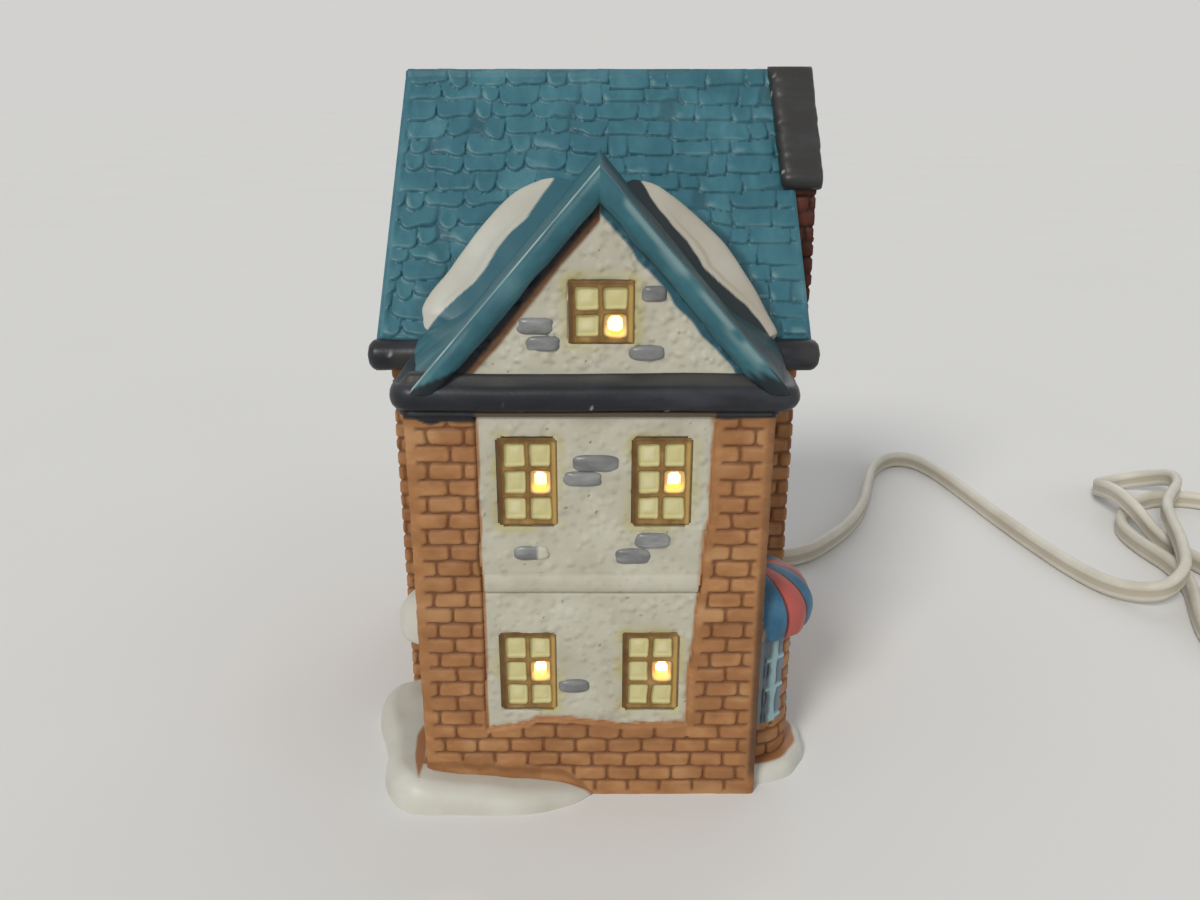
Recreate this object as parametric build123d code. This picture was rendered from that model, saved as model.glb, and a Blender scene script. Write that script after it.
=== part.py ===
from build123d import *
import os
from math import atan, cos, dist, hypot, pi, radians, sin, sqrt, tan

# House shell, in millimetres; X to the right, Y to the back, Z up
WING_WIDTH = 66.0
WING_DEPTH = 33.0
WING_X = -0.65
MAIN_WIDTH = 84.6
MAIN_DEPTH = 60.0
WALL = 4.0

# Roofs
EAVE_Z = 88.6
RIDGE_Z = 141.5
ROOF_THICK = 3.5
ROOF_OVERHANG = 3.5
ROOF_END_OVERHANG = 2.7
GABLE_DRAFT = 3.5
WING_RIDGE_Z = 125.3
WING_ROOF_HALF = 33.6
GABLE_X = 1.25
BARGE_WIDTH = 4.1
BARGE_PROJECTION = 3.4
GUTTER_DEPTH = 3.2
GUTTER_END = 1.9
SLATE_COURSE = 4.15
SLATE_STEP = 0.7

# Cornice and the painted front
CORNICE_BOTTOM = 81.9
CORNICE_TOP = 86.8
CORNICE_PROJECTION = 3.2
CORNICE_RIGHT_END = 5.2
CORNICE_WASH = 2.0
PLINTH_HEIGHT = 16.5
PILASTER_WIDTH = 12.5
BRICK_PROUD = 1.5
STUCCO_PROUD = 0.9
STRING_LOW = 46.0
STRING_HEIGHT = 4.0
STRING_PROUD = 1.7
BRICK_COURSE = 3.3
JOINT_WIDTH = 0.8
JOINT_DEPTH = 0.5

# Windows: frame, bars, glazing depth and the pierced pane
WINDOW_WIDTH = 11.0
WINDOW_HEIGHT = 17.3
GABLE_WINDOW_WIDTH = 11.5
GABLE_WINDOW_HEIGHT = 11.1
WINDOW_FRAME = 1.1
WINDOW_BAR = 0.9
WINDOW_PROUD = 0.5
WINDOW_BACK = 2.4
PANE_DEPTH = 1.0
HOLE_SHARE_WIDTH = 0.7
HOLE_SHARE_HEIGHT = 0.86
UPPER_WINDOW_Z = 68.7
LOWER_WINDOW_Z = 28.6
UPPER_WINDOW_X = (-12.15, 12.55)
LOWER_WINDOW_X = (-12.85, 11.15)
GABLE_WINDOW_X = 1.45
GABLE_WINDOW_Z = 100.4
SIDE_WINDOW_Z = (30.0, 66.0)
REAR_WINDOW_X = 21.0

# Bare stones that show through the stucco: centre x, centre z, width, height
WALL_STONES = [
    (0.45, 72.5, 9.1, 3.3),
    (-1.95, 69.3, 7.5, 2.9),
    (-11.75, 54.5, 7.1, 3.2),
    (11.15, 57.1, 7.0, 3.2),
    (7.45, 53.7, 7.1, 3.3),
    (-3.95, 25.4, 6.4, 3.2),
]
GABLE_STONES = [
    (-10.15, 98.0, 6.7, 3.2),
    (-8.85, 94.7, 6.3, 2.8),
    (10.65, 103.6, 4.6, 3.1),
    (9.55, 93.1, 6.7, 3.0),
]
STONE_PROUD = 0.9

# Chimney breast on the right gable and its dark hood
CHIMNEY_HALF = 14.0
CHIMNEY_OUT = 6.2
CHIMNEY_FOOT_Z = 96.0
CHIMNEY_LEDGE_Z = 107.0
CHIMNEY_LEDGE = 1.0
HOOD_RAISE = 2.6
HOOD_DEPTH = 2.4
HOOD_IN = 4.6
HOOD_OUT = 7.0
HOOD_LEAN_OUT = 1.6

# Bow window and awning on the right, hooded door on the left
BOW_RADIUS = 9.5
BOW_BASE_Z = 11.0
BOW_TOP_Z = 36.0
BOW_SETBACK = 0.3
BOW_Y = 15.0
AWNING_RADIUS = 13.5
AWNING_LOW_Z = 33.0
AWNING_WIDE_Z = 37.5
AWNING_TOP_Z = 45.0
AWNING_THICK = 1.8
DOOR_WIDTH = 12.0
DOOR_HEIGHT = 27.0
DOOR_PROUD = 1.2
DOOR_Y = 15.0
HOOD_SNOW_RADIUS = 7.6
HOOD_SNOW_LOW_Z = 28.5
HOOD_SNOW_WIDE_Z = 32.0
HOOD_SNOW_TOP_Z = 39.0

# Snow: reach in front of the wing, heights, and the drift's outline from the wing's left front corner
SNOW_REACH = 8.2
DRIFT_HEIGHT = 6.5
DRIFT_ROUND = 4.0
DRIFT_OUTLINE = [
    (2.0, 31.0),
    (-10.0, 31.0),
    (-15.3, 28.9),
    (-15.35, 22.5),
    (-11.2, 10.6),
    (-9.7, 0.6),
    (-4.0, -7.2),
    (7.0, -SNOW_REACH),
    (21.0, -5.0),
    (30.0, -1.6),
    (33.0, 2.0),
]
LIP_RADIUS = 14.0
LIP_HEIGHT = 3.6
LIP_ROUND = 2.4
ROOF_SNOW_THICK = 1.6
ROOF_SNOW_TOP = (8.0, 119.8)
ROOF_SNOW_FOOT = (36.6, 90.4)
ROOF_SNOW_BULGE_LEFT = 4.8
ROOF_SNOW_BULGE_RIGHT = 3.2

# Lamp set in the back wall
LAMP_X = -8.0
LAMP_Z = 24.5
LAMP_HOLE_R = 13.5
SOCKET_R = 9.0
SOCKET_INSIDE = 17.0
FLANGE_R = 15.5
FLANGE_THICK = 2.0
NECK_R = 6.5
NECK_LENGTH = 4.0
SHELL_OUTER_R = 6.7
SHELL_THICK = 0.4
SHELL_LENGTH = 12.0
CONTACT_R = 2.6
CONTACT_THICK = 0.8
RELIEF_LENGTH = 20.0
RELIEF_ROOT_R = 5.2
RELIEF_TIP_R = 3.8
CLIP_THICK = 0.6
CLIP_WIDTH = 8.0
CLIP_RING = 5.0
CLIP_CLEARANCE = 0.5

# Bulb: candelabra base and a small flame-shaped glass
BULB_FIT = 0.06
BULB_BASE_LENGTH = 13.0
BULB_TIP_R = 2.2
BULB_TIP_LENGTH = 1.6
BULB_NECK_R = 5.4
BULB_GLASS_R = 11.0
BULB_GLASS_LENGTH = 36.0
BULB_GLASS_WALL = 0.7
BULB_POINT_R = 4.2
FILAMENT_R = 0.25

# Cord, switch and plug
CORD_WIDTH = 6.0
COIL_X = 262.0
COIL_Y = 74.0
COIL_MID_R = 33.0
COIL_TURNS = 2
COIL_PITCH = 6.8
TIE_THICK = 0.8
TIE_WIDTH = 5.0
TIE_SLACK = 0.5
SWITCH_LENGTH = 50.0
SWITCH_WIDTH = 20.0
SWITCH_HEIGHT = 13.0
SWITCH_ROUND = 3.0
WHEEL_R = 8.5
WHEEL_THICK = 4.0
WHEEL_SHOW = 2.6
WHEEL_ROOM = 0.5
WHEEL_RIBS = 24
WHEEL_RIB_R = 0.35
WHEEL_PIN_R = 1.6
RUNNING_FIT = 0.05
SCREW_R = 1.3
SCREW_HEAD_R = 2.4
SCREW_HEAD = 1.2
SCREW_LENGTH = 9.8
SCREW_OFFSET = 17.0
CONTACT_STRIP = 0.6
CONTACT_STRIP_LENGTH = 12.0
CONTACT_STRIP_WIDTH = 3.0
PLUG_LENGTH = 26.0
PLUG_WIDTH = 24.0
PLUG_HEIGHT = 14.0
PLUG_ROUND = 3.0
BLADE_LENGTH = 16.5
BLADE_WIDTH = 6.35
BLADE_THICK = 1.5
BLADE_SPACING = 12.7

# Places worked out from the sizes above
DEPTH = SNOW_REACH + WING_DEPTH + MAIN_DEPTH + ROOF_OVERHANG + GUTTER_DEPTH
WING_FRONT = SNOW_REACH - DEPTH / 2
MAIN_FRONT = WING_FRONT + WING_DEPTH
MAIN_BACK = MAIN_FRONT + MAIN_DEPTH
RIDGE_Y = (MAIN_FRONT + MAIN_BACK) / 2
EAVE_FRONT = MAIN_FRONT - ROOF_OVERHANG
EAVE_BACK = MAIN_BACK + ROOF_OVERHANG
WING_LEFT = WING_X - WING_WIDTH / 2
WING_RIGHT = WING_X + WING_WIDTH / 2
MAIN_HALF = MAIN_WIDTH / 2
ROOF_HALF = MAIN_HALF + ROOF_END_OVERHANG
ROOF_SLOPE = (RIDGE_Z - EAVE_Z) / (RIDGE_Y - EAVE_FRONT)
ROOF_FALL = ROOF_THICK * hypot(1, ROOF_SLOPE)
WING_SLOPE = (WING_RIDGE_Z - CORNICE_TOP) / WING_ROOF_HALF
WING_FALL = ROOF_THICK * hypot(1, WING_SLOPE)
WING_INNER_HALF = WING_ROOF_HALF - WING_FALL / WING_SLOPE
STUCCO_LEFT = WING_LEFT + PILASTER_WIDTH
STUCCO_RIGHT = WING_RIGHT - PILASTER_WIDTH
CORD_R = CORD_WIDTH / 2
FAR = 300.0


def block(x, y, z):
    """A box between a low and a high value on each axis."""
    spans = (x, y, z)
    size = [high - low for low, high in spans]
    middle = [(low + high) / 2 for low, high in spans]
    return Pos(*middle) * Box(*size)


def along_x(outline, x):
    """An outline of (y, z) points, carried from one x to another."""
    face = make_face(Polyline([(x[0], y, z) for y, z in outline], close=True))
    return extrude(face, amount=x[1] - x[0], dir=(1, 0, 0))


def along_y(outline, y):
    """An outline of (x, z) points, carried from one y to another."""
    face = make_face(Polyline([(x, y[0], z) for x, z in outline], close=True))
    return extrude(face, amount=y[1] - y[0], dir=(0, 1, 0))


def roof_z(y, drop=0.0):
    """Height of the main roof's outer face at a depth y, less a vertical drop."""
    return RIDGE_Z - ROOF_SLOPE * abs(y - RIDGE_Y) - drop


def rounded(solid, radius, keep):
    """Rounds the edges that the test keep picks out."""
    return fillet([edge for edge in solid.edges() if keep(edge)], radius)


def turned(profile, centre_x, centre_y):
    """A profile of edges in (radius, height), turned about an upright axis."""
    face = make_face(profile)
    return Pos(centre_x, centre_y, 0) * revolve(face, Axis.Z)


def bed_joints(low, high, core):
    """Level joints at the brick courses between two heights, cut from outside down to a core."""
    slots = []
    for course in range(int(low / BRICK_COURSE) + 1, int(high / BRICK_COURSE) + 1):
        z = course * BRICK_COURSE
        if low + JOINT_WIDTH < z < high - JOINT_WIDTH:
            slots.append(block((-FAR, FAR), (-FAR, FAR), (z - JOINT_WIDTH / 2, z + JOINT_WIDTH / 2)) - core)
    return slots


# Main block
def tapered_ends(half):
    """The space between the gable ends, upright to the eaves and leaning in above them."""
    top = half - GABLE_DRAFT
    outline = [(-half, -1), (half, -1), (half, EAVE_Z), (top, RIDGE_Z), (-top, RIDGE_Z), (-half, EAVE_Z)]
    return along_y(outline, (MAIN_FRONT - FAR, MAIN_BACK + FAR))


def main_block():
    """The main block under its roof, not yet hollow."""
    outline = [
        (MAIN_FRONT, 0),
        (MAIN_BACK, 0),
        (MAIN_BACK, roof_z(MAIN_BACK, ROOF_FALL)),
        (RIDGE_Y, roof_z(RIDGE_Y, ROOF_FALL)),
        (MAIN_FRONT, roof_z(MAIN_FRONT, ROOF_FALL)),
    ]
    return along_x(outline, (-MAIN_HALF, MAIN_HALF)) & tapered_ends(MAIN_HALF)


def make_main_walls():
    between = block((-FAR, FAR), (MAIN_FRONT + WALL, MAIN_BACK - WALL), (-1, FAR))
    room = between & tapered_ends(MAIN_HALF - WALL)
    doorway = block(
        (WING_LEFT + WALL, WING_RIGHT - WALL), (MAIN_FRONT - 1, MAIN_FRONT + WALL + 1), (-1, FAR)
    )
    lamp_hole = Pos(LAMP_X, MAIN_BACK, LAMP_Z) * Rot(90, 0, 0) * Cylinder(LAMP_HOLE_R, 4 * WALL)
    walls = main_block() - room - doorway - lamp_hole
    for centre in side_window_places() + rear_window_places():
        walls -= window_opening(*centre)
    y = (MAIN_FRONT + JOINT_DEPTH, MAIN_BACK - JOINT_DEPTH)
    core = block((-FAR, FAR), y, (-1, FAR)) & tapered_ends(MAIN_HALF - JOINT_DEPTH)
    return walls - bed_joints(0, RIDGE_Z - 2 * ROOF_FALL, core)


def slated_slope(way):
    """One slope's outer face from eave to ridge, stepped where each course of slates laps the next."""
    eave = Vector(0, EAVE_FRONT if way < 0 else EAVE_BACK, EAVE_Z)
    climb = Vector(0, RIDGE_Y, RIDGE_Z) - eave
    inward = Vector(0, -way * ROOF_SLOPE, -1).normalized() * SLATE_STEP
    courses = round(climb.length / SLATE_COURSE)
    points = []
    for course in range(courses):
        foot = eave + climb * (course / courses)
        head = eave + climb * ((course + 1) / courses)
        points.append((foot.Y, foot.Z))
        if course < courses - 1:
            points.append(((head + inward).Y, (head + inward).Z))
    return points


def make_main_roof():
    underside = [
        (EAVE_BACK, EAVE_Z - ROOF_FALL),
        (RIDGE_Y, RIDGE_Z - ROOF_FALL),
        (EAVE_FRONT, EAVE_Z - ROOF_FALL),
    ]
    outline = slated_slope(-1) + [(RIDGE_Y, RIDGE_Z)] + slated_slope(1)[::-1] + underside
    low = EAVE_Z - ROOF_FALL - 1
    top = ROOF_HALF - GABLE_DRAFT
    ends = [
        (-ROOF_HALF, low),
        (ROOF_HALF, low),
        (ROOF_HALF, EAVE_Z),
        (top, RIDGE_Z),
        (-top, RIDGE_Z),
        (-ROOF_HALF, EAVE_Z),
    ]
    roof = along_x(outline, (-ROOF_HALF, ROOF_HALF)) & along_y(ends, (EAVE_FRONT - 1, EAVE_BACK + 1))
    attic = along_y(wing_attic_outline(low), (EAVE_FRONT - 1, RIDGE_Y))
    wing = block((WING_LEFT, WING_RIGHT), (WING_FRONT, MAIN_FRONT), (0, CORNICE_TOP))
    return roof - attic - wing - make_chimney_hood() - chimney_envelope()


def make_gutter(x, face_y, way):
    """A half-round roll along an eave; way is -1 at the front and 1 at the back."""
    low = EAVE_Z - ROOF_FALL
    bulge = (x[0], face_y + way * GUTTER_DEPTH, (low + EAVE_Z) / 2)
    back = Line((x[0], face_y, EAVE_Z), (x[0], face_y, low))
    roll = ThreePointArc((x[0], face_y, low), bulge, (x[0], face_y, EAVE_Z))
    return extrude(make_face([back, roll]), amount=x[1] - x[0], dir=(1, 0, 0))


# Wing
def make_wing_walls():
    outer = block((WING_LEFT, WING_RIGHT), (WING_FRONT, MAIN_FRONT), (0, CORNICE_TOP))
    room = block((WING_LEFT + WALL, WING_RIGHT - WALL), (WING_FRONT + WALL, MAIN_FRONT + 1), (-1, FAR))
    walls = outer - room
    for centre in front_window_places():
        walls -= window_opening(*centre)
    core = block((WING_LEFT + JOINT_DEPTH, WING_RIGHT - JOINT_DEPTH), (-FAR, FAR), (-1, FAR))
    return walls - bed_joints(0, CORNICE_BOTTOM, core)


def wing_attic_outline(low):
    """The hollow under the wing's roof, as (x, z) points."""
    return [
        (GABLE_X - WING_INNER_HALF, low),
        (GABLE_X + WING_INNER_HALF, low),
        (GABLE_X + WING_INNER_HALF, CORNICE_TOP),
        (GABLE_X, WING_RIDGE_Z - WING_FALL),
        (GABLE_X - WING_INNER_HALF, CORNICE_TOP),
    ]


def make_wing_roof():
    outline = [
        (GABLE_X - WING_ROOF_HALF, CORNICE_TOP),
        (GABLE_X, WING_RIDGE_Z),
        (GABLE_X + WING_ROOF_HALF, CORNICE_TOP),
        (GABLE_X + WING_INNER_HALF, CORNICE_TOP),
        (GABLE_X, WING_RIDGE_Z - WING_FALL),
        (GABLE_X - WING_INNER_HALF, CORNICE_TOP),
    ]
    main = [(EAVE_FRONT, -1), (EAVE_FRONT, EAVE_Z), (RIDGE_Y, RIDGE_Z), (RIDGE_Y + 1, -1)]
    return along_y(outline, (WING_FRONT, RIDGE_Y)) - along_x(main, (-FAR, FAR))


def make_gable_wall():
    outline = [
        (GABLE_X - WING_INNER_HALF, CORNICE_TOP),
        (GABLE_X + WING_INNER_HALF, CORNICE_TOP),
        (GABLE_X, WING_RIDGE_Z - WING_FALL),
    ]
    wall = along_y(outline, (WING_FRONT, WING_FRONT + WALL))
    for centre in gable_window_places():
        wall -= window_opening(*centre)
    return wall


def make_cornice():
    """A rounded roll round the wing, with a sloped wash in front of the gable."""
    side_end = EAVE_FRONT - GUTTER_DEPTH
    corner = CORNICE_PROJECTION
    outside = (WING_LEFT - corner, WING_RIGHT + CORNICE_RIGHT_END, WING_FRONT - corner)
    body = block(outside[:2], (outside[2], side_end), (CORNICE_BOTTOM, CORNICE_TOP))

    def is_outer(edge):
        middle = edge @ 0.5
        level = abs((edge % 0.5).Z) < 0.1
        on_side = min(abs(middle.X - outside[0]), abs(middle.X - outside[1])) < 0.01
        on_front = abs(middle.Y - outside[2]) < 0.01
        on_back = abs(middle.Y - side_end) < 0.01
        return level and (on_side or on_front) and not on_back

    roll = rounded(body, 0.4 * (CORNICE_TOP - CORNICE_BOTTOM), is_outer)
    roll -= block((WING_LEFT, WING_RIGHT), (WING_FRONT, side_end + 1), (0, FAR))
    wash_outline = [
        (WING_FRONT - 0.4 * CORNICE_PROJECTION, CORNICE_TOP),
        (WING_FRONT, CORNICE_TOP),
        (WING_FRONT, CORNICE_TOP + CORNICE_WASH),
    ]
    return roll + along_x(wash_outline, (WING_LEFT, WING_RIGHT))


def make_bargeboard(way):
    """The moulded verge of the gable; way is -1 on the left and 1 on the right."""
    pitch = atan(WING_SLOPE)
    down = Vector(way * cos(pitch), 0, -sin(pitch))
    out = Vector(way * sin(pitch), 0, cos(pitch))
    start = Vector(GABLE_X, WING_FRONT, WING_RIDGE_Z) - down * WING_ROOF_HALF
    section = [
        (0, 0),
        (0, 0.75 * BARGE_PROJECTION),
        (0.2 * BARGE_WIDTH, BARGE_PROJECTION),
        (0.7 * BARGE_WIDTH, 0.94 * BARGE_PROJECTION),
        (BARGE_WIDTH, 0.5 * BARGE_PROJECTION),
        (BARGE_WIDTH, 0),
    ]
    points = [start - out * inward - Vector(0, forward, 0) for inward, forward in section]
    strip = extrude(make_face(Polyline(points, close=True)), amount=4 * WING_ROOF_HALF, dir=down)
    half = block(
        sorted((GABLE_X, GABLE_X + way * FAR)), (WING_FRONT - FAR, WING_FRONT), (CORNICE_TOP, FAR)
    )
    return (strip & half) - make_cornice()


# Painted front of the wing
def front_bricks(x, z):
    """A band of brickwork on the wing's front, with its courses."""
    front = WING_FRONT - BRICK_PROUD
    sides = (WING_LEFT + JOINT_DEPTH, WING_RIGHT - JOINT_DEPTH)
    core = block(sides, (front + JOINT_DEPTH, FAR), (-1, FAR))
    return block(x, (front, WING_FRONT), z) - bed_joints(*z, core)


def make_plinth_band():
    return front_bricks((WING_LEFT, WING_RIGHT), (0, PLINTH_HEIGHT))


def make_pilaster(x):
    return front_bricks(x, (PLINTH_HEIGHT, CORNICE_BOTTOM))


def make_stucco(z):
    panel = block((STUCCO_LEFT, STUCCO_RIGHT), (WING_FRONT - STUCCO_PROUD, WING_FRONT), z)
    for centre in front_window_places():
        panel -= window_opening(*centre)
    return panel


def make_string_course():
    z = (STRING_LOW, STRING_LOW + STRING_HEIGHT)
    front = WING_FRONT - STRING_PROUD
    roll = block((STUCCO_LEFT, STUCCO_RIGHT), (front, WING_FRONT), z)

    def is_long_front(edge):
        return abs((edge @ 0.5).Y - front) < 0.01 and abs((edge % 0.5).X) > 0.9

    return rounded(roll, 0.6 * STRING_PROUD, is_long_front)


def make_stones():
    """Rounded bare stones, each standing on the face of its own wall."""
    stones = []
    for list_of_stones, face_y in ((WALL_STONES, WING_FRONT - STUCCO_PROUD), (GABLE_STONES, WING_FRONT)):
        for x, z, width, height in list_of_stones:
            face = Plane((x, face_y, z), x_dir=(1, 0, 0), z_dir=(0, -1, 0))
            stone = extrude(face * RectangleRounded(width, height, 0.45 * height), amount=STONE_PROUD)
            top = face_y - STONE_PROUD
            stones.append(rounded(stone, 0.5 * STONE_PROUD, lambda edge: abs((edge @ 0.5).Y - top) < 0.01))
    return Compound(children=stones)


# Windows; a place is a centre, a size, the columns and rows of panes, and the way that it faces
def front_window_places():
    upper = [((x, WING_FRONT, UPPER_WINDOW_Z), WINDOW_WIDTH, WINDOW_HEIGHT, 3, 0) for x in UPPER_WINDOW_X]
    lower = [((x, WING_FRONT, LOWER_WINDOW_Z), WINDOW_WIDTH, WINDOW_HEIGHT, 3, 0) for x in LOWER_WINDOW_X]
    return upper + lower


def gable_window_places():
    return [((GABLE_WINDOW_X, WING_FRONT, GABLE_WINDOW_Z), GABLE_WINDOW_WIDTH, GABLE_WINDOW_HEIGHT, 2, 0)]


def side_window_places():
    left = [((-MAIN_HALF, RIDGE_Y, z), WINDOW_WIDTH, WINDOW_HEIGHT, 3, -90) for z in SIDE_WINDOW_Z]
    right = [((MAIN_HALF, RIDGE_Y, z), WINDOW_WIDTH, WINDOW_HEIGHT, 3, 90) for z in SIDE_WINDOW_Z]
    return left + right


def rear_window_places():
    return [
        ((way * REAR_WINDOW_X, MAIN_BACK, SIDE_WINDOW_Z[1]), WINDOW_WIDTH, WINDOW_HEIGHT, 3, 180)
        for way in (-1, 1)
    ]


def window_opening(centre, width, height, rows, turn):
    """The hole in the wall that a window fills."""
    return Pos(*centre) * Rot(0, 0, turn) * Box(width, 3 * WALL, height)


def make_window(centre, width, height, rows, turn):
    """A raised frame with bars, sunk panes and one pane pierced to let the light out."""
    plate = block((-width / 2, width / 2), (-WINDOW_PROUD, WINDOW_BACK), (-height / 2, height / 2))
    pane_width = (width - 2 * WINDOW_FRAME - WINDOW_BAR) / 2
    pane_height = (height - 2 * WINDOW_FRAME - (rows - 1) * WINDOW_BAR) / rows
    for column in range(2):
        for row in range(rows):
            x = (column - 0.5) * (pane_width + WINDOW_BAR)
            z = (row - (rows - 1) / 2) * (pane_height + WINDOW_BAR)
            pane_face = -WINDOW_PROUD + PANE_DEPTH / 2
            plate -= Pos(x, pane_face, z) * Box(pane_width, PANE_DEPTH, pane_height)
            if column == 1 and row == rows - 2:
                hole = Box(HOLE_SHARE_WIDTH * pane_width, 4 * WALL, HOLE_SHARE_HEIGHT * pane_height)
                plate -= Pos(x, 0, z) * hole
    return Pos(*centre) * Rot(0, 0, turn) * plate


# Chimney breast and hood
def chimney_envelope():
    """The brick breast between the wall face and its outer face, up through the roof's end."""
    x = MAIN_HALF + CHIMNEY_OUT
    ledge = x - CHIMNEY_LEDGE
    outline = [
        (0, CHIMNEY_FOOT_Z - CHIMNEY_OUT),
        (MAIN_HALF, CHIMNEY_FOOT_Z - CHIMNEY_OUT),
        (ledge, CHIMNEY_FOOT_Z + CHIMNEY_OUT),
        (ledge, CHIMNEY_LEDGE_Z - CHIMNEY_LEDGE),
        (x, CHIMNEY_LEDGE_Z),
        (x, RIDGE_Z),
        (0, RIDGE_Z),
    ]
    breast = along_y(outline, (RIDGE_Y - CHIMNEY_HALF, RIDGE_Y + CHIMNEY_HALF))
    return (breast & roof_band(-HOOD_DEPTH - FAR, -HOOD_DEPTH)) - tapered_ends(MAIN_HALF)


def roof_band(low, high):
    """The space between two faces parallel to the main roof, measured square to it."""
    grow = hypot(1, ROOF_SLOPE)
    half = CHIMNEY_HALF + HOOD_RAISE
    outline = [
        (RIDGE_Y - half, roof_z(RIDGE_Y - half) + grow * high),
        (RIDGE_Y, RIDGE_Z + grow * high),
        (RIDGE_Y + half, roof_z(RIDGE_Y + half) + grow * high),
        (RIDGE_Y + half, roof_z(RIDGE_Y + half) + grow * low),
        (RIDGE_Y, RIDGE_Z + grow * low),
        (RIDGE_Y - half, roof_z(RIDGE_Y - half) + grow * low),
    ]
    return along_x(outline, (-FAR, FAR))


def make_chimney_hood():
    """A dark saddle over the breast; its ridge is cut level a little above the roof's."""
    x = (MAIN_HALF - HOOD_IN, MAIN_HALF + HOOD_OUT)
    y = (RIDGE_Y - FAR, RIDGE_Y + FAR)
    room = block(x, y, (CHIMNEY_FOOT_Z, RIDGE_Z + 0.2 * HOOD_RAISE))
    leaning = tapered_ends(MAIN_HALF + HOOD_OUT + HOOD_LEAN_OUT)
    return roof_band(-HOOD_DEPTH, HOOD_RAISE) & room & (leaning + block(x, y, (RIDGE_Z, FAR)))


# Bow window, awning and hooded door
def half_disc(radius, z, side):
    """An upright half cylinder against the wing's right wall."""
    whole = Pos(WING_RIGHT, WING_FRONT + BOW_Y, (z[0] + z[1]) / 2) * Cylinder(radius, z[1] - z[0])
    return whole & side


def right_of_wing():
    return block((WING_RIGHT, WING_RIGHT + FAR), (WING_FRONT - FAR, WING_FRONT + FAR), (-FAR, FAR))


def left_of_wing():
    return block((WING_LEFT - FAR, WING_LEFT), (WING_FRONT - FAR, WING_FRONT + FAR), (-FAR, FAR))


def make_bonnet(centre_x, centre_y, radius, heights, side):
    """A quarter-dome against a wall, with a small turned-in rim and a hollow underneath."""
    low, wide, top = heights
    thick = AWNING_THICK
    turn_in = 0.92 * radius
    shoulder_r = 0.72 * radius
    shoulder_z = wide + 0.7 * (top - wide)
    crown = (0, 0, top)
    brow = (radius, 0, wide)
    rim = (turn_in, 0, low)
    inner_rim = (turn_in - thick, 0, low)
    inner_brow = (radius - thick, 0, wide)
    inner_crown = (0, 0, top - thick)
    profile = [
        ThreePointArc(crown, (shoulder_r, 0, shoulder_z), brow),
        Polyline(brow, rim, inner_rim, inner_brow),
        ThreePointArc(inner_brow, (shoulder_r - 0.7 * thick, 0, shoulder_z - 0.7 * thick), inner_crown),
        Line(inner_crown, crown),
    ]
    return turned(profile, centre_x, centre_y) & side


def make_awning():
    heights = (AWNING_LOW_Z, AWNING_WIDE_Z, AWNING_TOP_Z)
    return make_bonnet(WING_RIGHT, WING_FRONT + BOW_Y, AWNING_RADIUS, heights, right_of_wing())


def make_door():
    return block((WING_LEFT - DOOR_PROUD, WING_LEFT), door_span(DOOR_WIDTH), (0, DOOR_HEIGHT))


def door_span(width):
    middle = WING_FRONT + DOOR_Y
    return (middle - width / 2, middle + width / 2)


def make_door_hood():
    heights = (HOOD_SNOW_LOW_Z, HOOD_SNOW_WIDE_Z, HOOD_SNOW_TOP_Z)
    return make_bonnet(WING_LEFT, WING_FRONT + DOOR_Y, HOOD_SNOW_RADIUS, heights, left_of_wing())


# Snow on the ground and in the roof's valleys
def make_drift():
    points = [(WING_LEFT + x, WING_FRONT + y) for x, y in DRIFT_OUTLINE]
    edge = Spline(points[1:-1])
    closing = Polyline([points[-2], points[-1], points[0], points[1]])
    bank = extrude(make_face([edge, closing]), amount=DRIFT_HEIGHT)

    def is_top_curve(edge):
        return abs((edge @ 0.5).Z - DRIFT_HEIGHT) < 0.01 and edge.geom_type == GeomType.BSPLINE

    bank = rounded(bank, DRIFT_ROUND, is_top_curve)
    bank -= block((WING_LEFT, FAR), (WING_FRONT - BRICK_PROUD, FAR), (-1, FAR))
    bank -= block((WING_LEFT - DOOR_PROUD, WING_LEFT), door_span(DOOR_WIDTH), (-1, FAR))
    return bank - main_block()


def make_snow_lip():
    disc = half_disc(LIP_RADIUS, (0, LIP_HEIGHT), right_of_wing())

    def is_top_arc(edge):
        return abs((edge @ 0.5).Z - LIP_HEIGHT) < 0.01 and edge.geom_type == GeomType.CIRCLE

    lip = rounded(disc, LIP_ROUND, is_top_arc)
    return lip - half_disc(BOW_RADIUS, (-1, LIP_HEIGHT + 1), right_of_wing())


def make_roof_snow(way, bulge):
    """A crescent of snow on the main roof beside the gable."""
    top = Vector(way * ROOF_SNOW_TOP[0] + GABLE_X, 0, ROOF_SNOW_TOP[1])
    foot = Vector(way * ROOF_SNOW_FOOT[0] + GABLE_X, 0, ROOF_SNOW_FOOT[1])
    run = foot - top
    square = Vector(-way * run.Z, 0, abs(run.X)).normalized()
    middle = (top + foot) * 0.5 + square * bulge
    crescent = make_face([ThreePointArc(top, middle, foot), Line(foot, top)])
    column = Pos(0, EAVE_FRONT - FAR, 0) * extrude(crescent, amount=2 * FAR, dir=(0, 1, 0))
    fall = ROOF_SNOW_THICK * hypot(1, ROOF_SLOPE)
    outline = [
        (EAVE_FRONT, EAVE_Z),
        (RIDGE_Y, RIDGE_Z),
        (RIDGE_Y, RIDGE_Z + fall),
        (EAVE_FRONT, EAVE_Z + fall),
    ]
    return column & along_x(outline, (-FAR, FAR))


# Lamp set; its pieces are turned about the lamp's axis, with height measured out of the back wall
def on_lamp_place(solid):
    """Carries a solid that stands on the origin to the back wall, lying along the lamp's axis."""
    return Pos(LAMP_X, MAIN_BACK, LAMP_Z) * Rot(-90, 0, 0) * solid


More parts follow.
